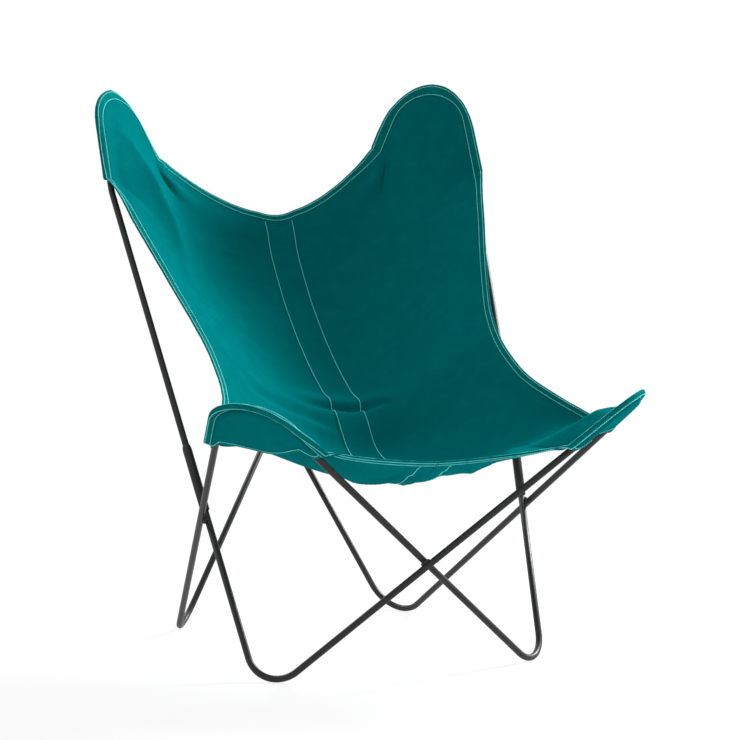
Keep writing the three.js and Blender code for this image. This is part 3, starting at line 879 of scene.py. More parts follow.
    def build(self) -> None:
        """Makes every steel piece."""
        for side in Side:
            self.add_rod(f"base_rod_{side.tag}_foot", self.rods[side])
            self.add_rod(f"back_hoop_{side.tag}", self.hoops[side])
            for end, (foot, heading) in self.seats(side).items():
                self.add_sleeve(f"sleeve_{end}_{side.tag}", foot, heading)
        left, right = self.corners[Side.LEFT], self.corners[Side.RIGHT]
        self.add_bead("weld_left", unit(left["near"] - right["far"]))
        self.add_bead("weld_right", unit(right["near"] - left["far"]))
        self.add_bead("weld_back", unit(left["back"] - right["back"]))
        self.add_bead("weld_front", unit(np.cross(left["wing"] - left["front"],
                                                  right["wing"] - right["front"])))


@dataclass
class Rim:
    """Stations along the rim of one half: edge point, way out of the cloth, way to the sitter."""

    edge: np.ndarray
    outward: np.ndarray
    facing: np.ndarray
    covered: np.ndarray
    turn: np.ndarray
    extra: np.ndarray
    seam: float = 0.0132
    roll: float = 0.004
    flat_turn: float = 1e-4

    @classmethod
    def free(cls, edge: np.ndarray) -> "Rim":
        """Stations of a free edge, whose ways are found later."""
        none = np.zeros(len(edge))
        return cls(edge, np.zeros(edge.shape), np.zeros(edge.shape), none, none, none)

    def at(self, places: np.ndarray) -> "Rim":
        """Reads the rim between its stations.

        Args:
            places: Fractional stations.

        Returns:
            The rim there.
        """
        here = np.arange(len(self.edge), dtype=float)
        ways = [unit(spread(rows, here, places)) for rows in (self.outward, self.facing)]
        rows = [np.interp(places, here, row) for row in (self.covered, self.turn, self.extra)]
        return Rim(spread(self.edge, here, places), *ways, *rows)

    def part(self, pick: slice) -> "Rim":
        """Some of the stations."""
        rows = (self.edge, self.outward, self.facing, self.covered, self.turn, self.extra)
        return Rim(*(row[pick] for row in rows))

    def widened(self, inset: float | np.ndarray) -> np.ndarray:
        """Distance in from the edge where the hem reaches past its usual width."""
        inset = np.broadcast_to(np.asarray(inset, float), (len(self.edge),))
        return inset + self.extra * np.clip(inset / self.seam, 0, 1)

    def angle(self, inset: float | np.ndarray) -> np.ndarray:
        """How far the hem has turned towards the sitter at a distance in from the edge."""
        return self.turn * np.clip((self.seam - inset) / self.roll, 0, 1)

    def normal(self, inset: float | np.ndarray) -> np.ndarray:
        """The way towards the sitter out of the turned hem."""
        angle = self.angle(inset)[:, None]
        return self.facing * np.cos(angle) - self.outward * np.sin(angle)

    def line(self, inset: float | np.ndarray, lift: float | np.ndarray = 0.0) -> np.ndarray:
        """Finds points on the rim or above it.

        Args:
            inset: Distance in from the edge.
            lift: Distance up towards the sitter.

        Returns:
            One point per station.
        """
        widened = self.widened(inset)
        past = np.maximum(self.seam + self.extra - widened, 0)
        angle = self.angle(inset)
        curl, straight = np.minimum(past, self.roll), np.maximum(past - self.roll, 0)
        tight = np.where(np.abs(angle) < self.flat_turn, self.flat_turn, angle)
        out = curl * np.sin(tight) / tight + straight * np.cos(angle) - past
        up = curl * (1 - np.cos(tight)) / tight + straight * np.sin(angle)
        flat = self.edge + self.outward * (out - widened)[:, None] + self.facing * up[:, None]
        return flat + self.normal(inset) * np.atleast_1d(lift)[:, None]


@dataclass(frozen=True)
class Stretch:
    """Values along a stretch of one half's rim, zero outside it.

    Stations are coarse cells from the top centre round to the front centre.
    """

    side: Side
    stations: Sequence[float]
    values: Sequence[float]

    def read(self, places: np.ndarray) -> np.ndarray:
        """The values at places along the rim."""
        return np.interp(places, self.stations, self.values, 0.0, 0.0)


@dataclass(frozen=True)
class Fold:
    """One soft ridge or valley, through places on the cloth given in cells of its grid."""

    places: Sequence[tuple[float, float]]
    height: float
    width: float
    lee: float = 1.0
    ends: float = 0.25
    crisp: float = 0.0
    rise: float = 1.6
    tip: float = 0.1

    def section(self, away: np.ndarray) -> np.ndarray:
        """Height at distances given in widths, softly or crisply rounded at the crest."""
        sharp = np.exp(self.rise * (self.tip - np.sqrt(away ** 2 + self.tip ** 2)))
        return np.exp(-away ** 2) * (1 - self.crisp) + sharp * self.crisp


# Degrees by which the hem leans towards the sitter where it hangs loose
HEM_LEANS = (
    Stretch(Side.LEFT, (5.6, 6.6, 7.5, 9.0, 10.0, 11.0, 12.3, 13.0, 13.6, 14.2, 15.2, 16.0, 16.6),
            (0, -17, -21, -28, -9, 0, -10, -14, -29, -35, -33, -15, 0)),
    Stretch(Side.LEFT, (17.0, 19.0, 22.0, 27.0, 32.0, 37.0), (0, 34, 34, 25, 12, 0)),
    Stretch(Side.LEFT, (40.5, 42, 43.5, 44.7, 45.6, 46.6, 47.6), (0, -26, -42, -54, -42, -20, 0)),
    Stretch(Side.RIGHT, (35.6, 36.6, 37.8, 40.4, 41.2, 42.2), (0, -20, -34, -34, -14, 0)),
)

# Metres by which the hem reaches past its usual width
HEM_REACHES = (
    Stretch(Side.LEFT, (10.0, 11.0, 12.3, 13.0), (0, 0.005, 0.0025, 0)),
    Stretch(Side.RIGHT, (4.0, 5.4, 6.2, 7.2, 8.0, 9.0, 9.6, 10.4, 11.0, 11.5, 12.2, 12.8, 13.6,
                         16.0, 17.4),
            (0, 0.006, 0.009, 0.0092, 0.0075, 0.0037, 0.004, 0.0073, 0.0085, 0.007, 0.0018, 0,
             0.003, 0.0038, 0)),
)

# Left side is negative, cells from the centre line and from the top row
BACK_FOLDS = (
    Fold(((-11.0, 0.8), (-10.6, 1.1), (-10.0, 1.4), (-9.4, 1.8), (-8.9, 2.3), (-8.4, 3.1),
          (-8.1, 4.3), (-7.9, 5.3), (-7.9, 6.7), (-8.1, 8.6), (-8.4, 10.6)),
         height=0.021, width=0.03, lee=1.4, ends=0.42, crisp=0.8),
    Fold(((-7.9, 0.3), (-6.9, 0.6), (-6.2, 1.0), (-6.0, 1.9), (-5.9, 2.9), (-5.9, 4.0),
          (-5.9, 5.0)),
         height=-0.002, width=0.045, lee=0.5, ends=0.3, crisp=0.4),
    Fold(((-4.6, 3.9), (-3.0, 3.6), (-1.6, 3.5), (-0.4, 3.6)), height=0.0011, width=0.007),
    Fold(((-3.9, 6.4), (-2.4, 6.2), (-1.2, 6.3)), height=0.001, width=0.006),
    Fold(((1.0, 9.2), (2.6, 9.5), (4.4, 9.3), (6.0, 8.7)), height=0.0009, width=0.008),
    Fold(((-2.6, 11.4), (-1.0, 11.6), (1.2, 11.5), (3.0, 11.8)), height=0.001, width=0.007),
)
SEAT_FOLDS = (
    Fold(((-4.4, 16.5), (-2.5, 16.6), (-1.0, 16.8), (0.3, 16.9), (1.5, 16.9), (2.7, 16.9),
          (4.4, 17.0)), height=0.0045, width=0.015),
    Fold(((-3.8, 17.2), (-1.8, 17.35), (-0.9, 17.5), (0.0, 17.6), (1.2, 17.5), (2.5, 17.4),
          (4.0, 17.5)), height=-0.006, width=0.0075),
    Fold(((-1.6, 17.45), (-0.4, 17.55), (0.8, 17.55), (2.0, 17.45)),
         height=-0.006, width=0.006, ends=0.3),
    Fold(((-8.6, 18.1), (-7.2, 18.2), (-5.7, 18.2), (-4.6, 18.3), (-3.2, 18.5), (-1.8, 19.0),
          (-0.7, 19.7)), height=-0.0045, width=0.02, lee=0.45),
    Fold(((2.8, 30.7), (4.6, 30.3), (6.0, 30.1), (7.6, 30.0), (9.0, 30.2), (10.0, 30.4),
          (10.9, 30.8)), height=0.0185, width=0.06, lee=0.55, ends=0.22, crisp=0.7),
    Fold(((0.6, 27.5), (2.4, 28.2), (4.4, 28.8), (6.4, 29.0)), height=0.007, width=0.05),
)
BELLY_FOLDS = tuple(Fold(places, height, width, crisp=0.5) for places, height, width in (
    (((-3.6, 26.2), (-2.4, 28.4), (-1.4, 30.4), (-0.5, 31.6)), -0.0058, 0.01),
    (((-2.2, 26.8), (-1.4, 28.8), (-0.8, 30.4), (-0.2, 31.6)), 0.0046, 0.009),
    (((-0.6, 27.6), (-0.4, 29.2), (-0.1, 30.8), (0.2, 31.7)), -0.0042, 0.008),
    (((1.4, 28.0), (1.2, 29.4), (0.9, 30.8), (0.7, 31.7)), 0.0036, 0.008),
    (((3.4, 28.6), (2.6, 29.8), (1.9, 31.0), (1.3, 31.7)), -0.0042, 0.01),
))


@dataclass
class SlingShape:
    """The sling's surface: its sizes, the way it hangs, and its grid of both halves."""

    steelwork: Steelwork
    fine: int = 6
    canvas: float = 0.0016
    hem_width: float = 0.014
    layer_gap: float = 0.0004
    back_pocket_front_reach: float = 0.188
    back_pocket_rear_reach: float = 0.148
    wing_pocket_side_reach: float = 0.15
    wing_pocket_front_reach: float = 0.145
    top_centre: tuple[float, float] = (0.368, 0.7395)
    front_centre: tuple[float, float] = (-0.373, 0.357)
    seat_low: float = 0.311
    fold_depth: float = 0.009
    fold_length: float = 0.034
    fold_span: float = 0.12
    fold_place: float = 0.47
    across_cells: int = 11
    length_cells: int = 32
    pocket_cells: int = 5
    rim_cells: int = 2
    top_cells: int = 6
    flank_cells: int = 22
    join_cells: float = 1.7
    calm_cells: float = 0.8
    curve_steps: int = 40
    fold_steps: int = 12
    passes: int = 420
    pull: float = 1.93
    side_edge: tuple = (
        (0, 0, 0), (0.09, 0.028, 0.006), (0.19, 0.052, 0.021), (0.29, 0.077, 0.038),
        (0.39, 0.1, 0.054), (0.5, 0.123, 0.067), (0.6, 0.133, 0.068), (0.69, 0.129, 0.06),
        (0.77, 0.118, 0.046), (0.865, 0.087, 0.02), (1, 0, 0),
    )
    top_edge: tuple = (
        (0, 0, 0), (0.039, -0.004, 0.0165), (0.073, -0.008, 0.0285), (0.106, -0.011, 0.0376),
        (0.14, -0.014, 0.0442), (0.174, -0.016, 0.0508), (0.26, -0.022, 0.071),
        (0.4, -0.028, 0.088), (0.52, -0.029, 0.091), (0.65, -0.026, 0.084),
        (0.78, -0.02, 0.064), (0.88, -0.012, 0.041), (0.95, -0.005, 0.018), (1, 0, 0),
    )
    front_edge: tuple = (
        (0, 0, 0), (0.33, 0.035, 0.02), (0.66, 0.04, 0.02), (0.85, 0.023, 0.012), (1, 0, 0),
    )
    centre_line: tuple = (
        (1, 1), (0.976, 0.93), (0.95, 0.841), (0.9, 0.73), (0.852, 0.634), (0.789, 0.532),
        (0.727, 0.443), (0.664, 0.366), (0.598, 0.295), (0.54, 0.234), (0.482, 0.163),
        (0.426, 0.098), (0.386, 0.061), (0.301, 0.013), (0.229, 0), (0.126, 0.014),
        (0.045, 0.064), (0, 0.108),
    )

    def __post_init__(self) -> None:
        """Works out both halves."""
        rod = self.steelwork.base.rod / 2
        self.rod_cover = rod + self.layer_gap + self.canvas / 2
        self.rod_pass = rod + self.layer_gap
        self.edge_reach = self.rod_pass + self.hem_width
        self.ring_inset = self.hem_width + 2 * self.rod_pass
        self.top = np.array([0.0, *self.top_centre])
        self.front = np.array([0.0, *self.front_centre])
        self.rims: dict[Side, Rim] = {}
        left, right = (self.half(side) for side in Side)
        middle = (left[0] + right[0]) / 2
        middle[:, 0] = 0
        self.sheet = np.concatenate([left[:0:-1], middle[None], right[1:]]) + self.steelwork.shift
        self.plain = self.sheet
        for rim in self.rims.values():
            rim.edge = rim.edge + self.steelwork.shift

    @property
    def span(self) -> int:
        """Fine cells from the centre line to the ring."""
        return self.across_cells * self.fine

    @property
    def reach(self) -> int:
        """Fine cells from the ring's top row to its front row."""
        return self.length_cells * self.fine

    def free_edge(self, begin: np.ndarray, end: np.ndarray, inward: np.ndarray,
                  down: np.ndarray, shares: tuple) -> np.ndarray:
        """Bows a free edge between two anchors.

        Args:
            begin: The first anchor.
            end: The last anchor.
            inward: One way in which it bows.
            down: The other way.
            shares: Places along the chord, and both bows there, as shares of the chord.

        Returns:
            The edge's points.
        """
        chord = float(np.linalg.norm(end - begin))
        knots = np.array([begin + (end - begin) * p + inward * b * chord + down * d * chord
                          for p, b, d in shares])
        return centripetal(knots, self.curve_steps)

    def over_rod(self, rod: RodPath, corner: np.ndarray, before: float, after: float,
                 extra: np.ndarray) -> Rim:
        """Lays the rim over a bent rod that a pocket covers.

        Args:
            rod: The rod.
            corner: Its virtual corner.
            before: How far the pocket reaches along the rod's run that comes in.
            after: How far it reaches along the run that goes out.
            extra: How far the hem reaches past its usual width at each station.

        Returns:
            The stations.
        """
        cells = self.pocket_cells * self.fine
        middle = rod.near(corner)
        ways = [unit(rod.at(middle - before)[0] - corner), unit(rod.at(middle + after)[0] - corner)]
        facing = towards(unit(np.cross(*ways)), UP)
        outside = -(ways[0] + ways[1])
        edges, outwards = [], []
        for k, more in zip(range(-cells, cells + 1), extra[::-1]):
            point, heading = rod.at(middle + k / cells * (before if k < 0 else after))
            out = towards(unit(np.cross(facing, heading)), outside)
            outwards.append(out)
            edges.append(point + out * (self.edge_reach + more) + facing * self.rod_cover)
        count = len(edges)
        return Rim(np.array(edges)[::-1], np.array(outwards)[::-1],
                   np.tile(facing, (count, 1)), np.ones(count), np.zeros(count), extra)

    def rim(self, side: Side) -> Rim:
        """Lays the rim of one half, from the top centre round to the front centre.

        Args:
            side: The half.

        Returns:
            Its stations.
        """
        work = self.steelwork
        inward = np.array([-float(side), 0.0, 0.0])
        back = np.array([0.0, 1.0, 0.0])
        total = 2 * self.across_cells + self.length_cells
        places = np.arange(total * self.fine + 1) / self.fine
        extra, lean = (sum((row.read(places) for row in rows if row.side == side), 0 * places)
                       for rows in (HEM_REACHES, HEM_LEANS))
        short, long = self.top_cells * self.fine, self.flank_cells * self.fine
        cells = 2 * self.pocket_cells * self.fine + 1
        tip = self.over_rod(work.hoops[side], work.hoop.tip(side), self.back_pocket_front_reach,
                            self.back_pocket_rear_reach, extra[short:short + cells])
        wing = self.over_rod(work.rods[side.other], work.corners[side.other]["wing"],
                             self.wing_pocket_front_reach, self.wing_pocket_side_reach,
                             extra[-short - cells:-short])
        drop = towards(unit(np.cross(unit(wing.edge[0] - tip.edge[-1]), inward)), -UP)
        top = self.free_edge(self.top, tip.edge[0], back, -UP, self.top_edge)
        flank = self.free_edge(tip.edge[-1], wing.edge[0], inward, drop, self.side_edge)
        front = self.free_edge(wing.edge[-1], self.front, back, -UP, self.front_edge)
        parts = (Rim.free(evenly(top, np.arange(short) / short)), tip,
                 Rim.free(evenly(flank, np.arange(1, long) / long)), wing,
                 Rim.free(evenly(front, np.arange(1, short + 1) / short)))
        rows = [np.concatenate([getattr(part, name) for part in parts])
                for name in ("edge", "outward", "facing", "covered")]
        return Rim(*rows, np.radians(lean), extra)

    def ring(self) -> np.ndarray:
        """Lists the grid's places on the ring.

        Returns:
            Their cells from the centre line and from the top row, in the order of the stations.
        """
        a, b = self.span, self.reach
        rows = [(i, 0) for i in range(a + 1)] + [(a, j) for j in range(1, b + 1)]
        rows += [(i, b) for i in range(a - 1, -1, -1)]
        return np.array(rows)

    def settle(self, grid: np.ndarray) -> None:
        """Spreads the ring's places evenly over the grid, level across the centre line.

        Args:
            grid: One half's points, whose inner ones are changed.
        """
        a, b = self.span, self.reach
        odd = np.add.outer(np.arange(a), np.arange(1, b)) % 2 == 1
        core = grid[:a, 1:b]
        for _ in range(self.passes):
            for colour in (odd, ~odd):
                inside = np.concatenate([grid[1:2, 1:b] * MIRROR, grid[:a - 1, 1:b]])
                mean = (grid[1:a + 1, 1:b] + inside + grid[:a, :b - 1] + grid[:a, 2:]) / 4
                core[colour] += self.pull * (mean - core)[colour]

    def profile(self, shares: np.ndarray) -> np.ndarray:
        """Reads the sling's centre line.

        Args:
            shares: Shares of its length from the top.

        Returns:
            The points there.
        """
        high, deep = self.top[2] - self.seat_low, self.top[1] - self.front[1]
        knots = np.array([(0.0, self.front[1] + d * deep, self.seat_low + h * high)
                          for d, h in self.centre_line])
        return evenly(centripetal(knots, self.curve_steps), shares)

    def shape_centre(self, grid: np.ndarray, margin: float) -> None:
        """Bows each row so that the centre line follows its profile, with a round section.

        Args:
            grid: One half's points, which are changed.
            margin: How far the rim reaches past the grid at both ends.
        """
        lengths = pace(grid[0])
        shares = (lengths + margin) / (lengths[-1] + 2 * margin)
        move = self.profile(shares) - grid[0]
        if margin:
            move[0] = move[-1] = 0
        bow = 1 - (np.arange(self.span) / self.span) ** 2
        rows = slice(1, -1)
        grid[:self.span, rows] += bow[:, None, None] * move[None, rows]
        if not margin:
            grid[0, 0] += move[0]
            grid[0, -1] += move[-1]

    def aim(self, rim: Rim, ring: np.ndarray, grid: np.ndarray, side: Side) -> None:
        """Gives the free stations their ways, from the cloth that leaves them.

        Args:
            rim: The stations, which are changed.
            ring: The grid's places on the ring.
            grid: One half's points.
            side: The half.
        """
        a, b, deep = self.span, self.reach, self.rim_cells * self.fine
        i, j = ring[:, 0], ring[:, 1]
        inner_i = np.where(i == a, a - deep, i)
        inner_j = np.where(i == a, j, np.where(j == b, b - deep, deep))
        heading = unit(np.gradient(rim.edge, axis=0))
        heading[0], heading[-1] = (side, 0, 0), (-side, 0, 0)
        outward = rim.edge - grid[inner_i, inner_j]
        outward = unit(outward - heading * (outward * heading).sum(1, keepdims=True))
        facing = unit(np.cross(outward, heading)) * side
        free = rim.covered < 0.5
        rim.outward[free], rim.facing[free] = outward[free], facing[free]
        soft = free.copy()
        soft[[0, -1]] = False
        for _ in range(2 * self.fine ** 2):
            for rows in (rim.outward, rim.facing):
                mean = unit(2 * rows[1:-1] + rows[:-2] + rows[2:])
                rows[1:-1][soft[1:-1]] = mean[soft[1:-1]]

    def half(self, side: Side) -> np.ndarray:
        """Makes one half of the sling's grid and its rim.

        Args:
            side: The half.

        Returns:
            The grid inside the ring, centre line first.
        """
        rim, ring = self.rim(side), self.ring()
        grid = np.zeros((self.span + 1, self.reach + 1, 3))
        down = np.linspace(0, 1, self.reach + 1)[:, None]
        grid[ring[:, 0], ring[:, 1]] = rim.edge
        middle = self.top + (self.front - self.top) * down
        share = (np.arange(self.span) / self.span)[:, None, None]
        outer = grid[self.span][None, 1:-1]
        grid[:self.span, 1:-1] = middle[None, 1:-1] * (1 - share) + outer * share
        self.settle(grid)
        self.shape_centre(grid, 0.0)
        self.aim(rim, ring, grid, side)
        grid[ring[:, 0], ring[:, 1]] = rim.line(self.ring_inset)
        self.settle(grid)
        self.shape_centre(grid, self.ring_inset)
        self.rims[side] = rim
        return self.folded(grid, side)

    def folded(self, grid: np.ndarray, side: Side) -> np.ndarray:
        """Adds the fold that the slack canvas makes behind the seat.

        Args:
            grid: One half's points.
            side: The half.

        Returns:
            The points with the fold.
        """
        place = self.front[1] + self.fold_place * (self.top[1] - self.front[1])
        down = np.gradient(grid, axis=1)
        across = np.gradient(grid, axis=0)
        across[0] = (side, 0, 0)
        facing = unit(np.cross(down, across)) * side
        length = (grid[..., 1] - place) / self.fold_length
        height = self.fold_depth * length * np.exp(
            0.5 - length ** 2 / 2 - (grid[..., 0] / self.fold_span) ** 2)
        inner = np.zeros(grid.shape[:2])
        inner[:-1, 1:-1] = 1
        return grid + facing * (height * inner)[..., None]

    def facing(self, plain: bool = False) -> np.ndarray:
        """Directions towards the sitter over the whole sheet, or over it without its folds."""
        sheet = self.plain if plain else self.sheet
        return unit(np.cross(np.gradient(sheet, axis=1), np.gradient(sheet, axis=0)))

    def join_rim(self) -> None:
        """Leads the sheet into the plane of its rim without a crease."""
        count = round(self.join_cells * self.fine)
        move = np.zeros(self.sheet.shape)
        total = np.full(self.sheet.shape[:2], TINY)
        a, b = self.span, self.reach
        for side in Side:
            rim = self.rims[side]
            for k in range(1, count + 1):
                weight = (1 - k / (count + 1)) ** 2
                i, j = np.arange(0, a + 1 - k), np.arange(k, b + 1 - k)
                lines = [(a + side * (a - k) + 0 * j, j, a + j, a + side * a + 0 * j, j),
                         (a + side * i, k + 0 * i, i, a + side * i, 0 * i),
                         (a + side * i, b - k + 0 * i, len(rim.edge) - 1 - i, a + side * i, b + 0 * i)]
                for row, column, station, from_row, from_column in lines:
                    facing = rim.facing[station]
                    gap = self.sheet[from_row, from_column] - self.sheet[row, column]
                    push = facing * (gap * facing).sum(1, keepdims=True)
                    move[row, column] += weight * weight * push
                    total[row, column] += weight
        self.sheet = self.sheet + move / total[..., None]

    def read(self, u: np.ndarray, v: np.ndarray, table: np.ndarray) -> np.ndarray:
        """Reads a table over the sheet at places given in coarse cells.

        Args:
            u: Cells from the centre line, left of it negative.
            v: Cells from the ring's top row.
            table: Values over the sheet.

        Returns:
            The values there.
        """
        i = np.clip(np.asarray(u) * self.fine + self.span, 0, 2 * self.span - 1e-6)
        j = np.clip(np.asarray(v) * self.fine, 0, self.reach - 1e-6)
        a, b = i.astype(int), j.astype(int)
        s, t = (i - a)[..., None], (j - b)[..., None]
        return ((table[a, b] * (1 - s) + table[a + 1, b] * s) * (1 - t)
                + (table[a, b + 1] * (1 - s) + table[a + 1, b + 1] * s) * t)

    def crease(self, folds: Sequence[Fold]) -> None:
        """Raises ridges and presses valleys along lines on the sheet.

        Args:
            folds: The ridges and valleys.
        """
        self.plain = self.sheet
        facing = self.facing()
        size = self.sheet.shape[:2]
        lift = np.zeros(size)
        for fold in folds:
            knots = np.array(fold.places, float)
            route = centripetal(np.c_[knots, np.zeros(len(knots))], self.fold_steps)
            line = self.read(route[:, 0], route[:, 1], self.sheet)
            gap, where, beside = np.full(size, np.inf), np.zeros(size), np.zeros(size)
            headings = unit(np.gradient(line, axis=0))
            for point, place, heading in zip(line, pace(line) / pace(line)[-1], headings):
                away = self.sheet - point
                reach = np.linalg.norm(away, axis=-1)
                near = reach < gap
                where = np.where(near, place, where)
                beside = np.where(near, (np.cross(away, heading) * facing).sum(-1), beside)
                gap = np.minimum(gap, reach)
            fade = ease(where / fold.ends) * ease((1 - where) / fold.ends)
            width = fold.width * np.where(beside > 0, fold.lee, 1.0)
            lift += fold.height * fade * fold.section(gap / width)
        calm = ease(from_rim(*size) / (self.calm_cells * self.fine))
        self.sheet = self.sheet + facing * (lift * calm)[..., None]


@dataclass
class Draping:
    """Lets the slack canvas settle under its own weight, held at its rim."""

    every: int = 2
    frames: int = 26
    slack: float = 0.004
    cap: float = 0.006
    stiffness: float = 34.0
    bending: float = 1.2
    damping: float = 12.0
    air_damping: float = 4.0
    mass: float = 0.25
    quality: int = 7
    soft_rim: float = 7.0

    def settle(self, shape: SlingShape) -> None:
        """Simulates the cover and moves the sheet with it.

        Args:
            shape: The sling, whose sheet is changed.
        """
        coarse = shape.sheet[::self.every, ::self.every]
        rows, columns = coarse.shape[:2]
        mesh = Mesh()
        mesh.grid(coarse)
        data = bpy.data.meshes.new("slack_sheet")
        data.from_pydata(np.vstack(mesh.points).tolist(), [], mesh.faces)
        sheet = stand("slack_sheet", data)
        steps = from_rim(rows, columns)
        group = sheet.vertex_groups.new(name="held")
        group.add(np.flatnonzero(steps == 0).tolist(), 1.0, "REPLACE")
        cloth = sheet.modifiers.new("slack", "CLOTH")
        settings = cloth.settings
        settings.quality = self.quality
        settings.mass = self.mass
        settings.air_damping = self.air_damping
        for name in ("tension", "compression", "shear"):
            setattr(settings, f"{name}_stiffness", self.stiffness)
            setattr(settings, f"{name}_damping", self.damping)
        settings.bending_stiffness = self.bending
        settings.vertex_group_mass = "held"
        settings.shrink_min = settings.shrink_max = -self.slack
        cloth.point_cache.frame_start, cloth.point_cache.frame_end = 1, self.frames
        scene = bpy.context.scene
        for number in range(1, self.frames + 1):
            scene.frame_set(number)
        ready = sheet.evaluated_get(bpy.context.evaluated_depsgraph_get())
        flat = np.zeros(rows * columns * 3)
        ready.data.vertices.foreach_get("co", flat)
        move = flat.reshape(rows, columns, 3) - coarse
        scene.frame_set(1)
        bpy.data.objects.remove(sheet)
        bpy.data.meshes.remove(data)
        far = np.linalg.norm(move, axis=-1, keepdims=True)
        log.info("slack: mean %.2f mm, most %.2f mm", far.mean() * 1000, far.max() * 1000)
        move *= self.cap / (self.cap + far) * ease(steps / self.soft_rim)[..., None]
        shape.sheet = shape.sheet + self.upsample(move, shape.sheet.shape[:2])

    def upsample(self, move: np.ndarray, size: tuple[int, int]) -> np.ndarray:
        """Spreads the coarse moves smoothly over the fine sheet.

        Args:
            move: One move per coarse place.
            size: Rows and columns of the fine sheet.

        Returns:
            One move per fine place.
        """
        i, j = (np.arange(n) / self.every for n in size)
        a, b = (np.minimum(k.astype(int), n - 2) for k, n in zip((i, j), move.shape))
        s, t = ((k - c) * 0.5 + ease(k - c) * 0.5 for k, c in ((i, a), (j, b)))
        s, t = s[:, None, None], t[None, :, None]
        low = move[a][:, b] * (1 - s) + move[a + 1][:, b] * s
        high = move[a][:, b + 1] * (1 - s) + move[a + 1][:, b + 1] * s
        return low * (1 - t) + high * t


@dataclass
class Stitching:
    """Runs of single stitches, joined into one piece per seam group."""

    pitch: float = 0.0037
    length: float = 0.0033
    radius: float = 0.00061
    sides: int = 5
    profile: tuple = ((-0.5, 0.5, -0.3), (-0.3, 1.0, 0.55), (0.3, 1.0, 0.55), (0.5, 0.5, -0.3))
    tack_pitch_share: float = 0.6
    tack_spacing: float = 0.0005
    mesh: Mesh = field(default_factory=Mesh)

    def run(self, points: np.ndarray, facing: np.ndarray, pitch: float | None = None) -> None:
        """Adds stitches along a line.

        Args:
            points: The line, on the cloth's surface.
            facing: The way out of the cloth at each point.
            pitch: Distance from stitch to stitch, if it isn't the usual one.
        """
        lengths = pace(points)
        step = pitch or self.pitch
        count = int(lengths[-1] / step)
        if count < 1:
            return
        middle = (np.arange(count) + 0.5) * lengths[-1] / count
        place = spread(points, lengths, middle)
        ahead = spread(points, lengths, np.minimum(middle + step / 4, lengths[-1]))
        behind = spread(points, lengths, np.maximum(middle - step / 4, 0))
        way = unit(ahead - behind)
        out = spread(facing, lengths, middle)
        out = unit(out - way * (out * way).sum(1, keepdims=True))
        side = np.cross(way, out)
        angles = np.linspace(0, 2 * math.pi, self.sides, endpoint=False)
        reach = self.length * step / self.pitch
        rings = []
        for along, thick, height in self.profile:
            centre = place + way * along * reach + out * height * self.radius
            ring = (np.cos(angles)[None, :, None] * side[:, None]
                    + np.sin(angles)[None, :, None] * out[:, None])
            rings.append(centre[:, None] + ring * thick * self.radius)
        points = np.stack(rings, 1).reshape(-1, 3)
        start = self.mesh.count + np.arange(count)[:, None] * len(rings) * self.sides
        for row in range(0, (len(rings) - 1) * self.sides, self.sides):
            for k in range(self.sides):
                a, b = row + k, row + (k + 1) % self.sides
                face = start + np.array([a, b, b + self.sides, a + self.sides])
                self.mesh.faces.extend(face.tolist())
        self.mesh.points.append(points)
        self.mesh.flat.append(np.zeros((len(points), 2)))
        self.mesh.count += len(points)

    def tack(self, point: np.ndarray, way: np.ndarray, facing: np.ndarray, length: float) -> None:
        """Adds one back-tack, three short rows of crowded stitches.

        Args:
            point: Its middle.
            way: The way in which it runs.
            facing: The way out of the cloth.
            length: Its length.
        """
        half = unit(way) * length / 2
        line = np.array([point - half, point + half])
        for shift in (-self.tack_spacing, 0.0, self.tack_spacing):
            self.run(line + unit(np.cross(way, facing)) * shift, np.array([facing, facing]),
                     self.pitch * self.tack_pitch_share)


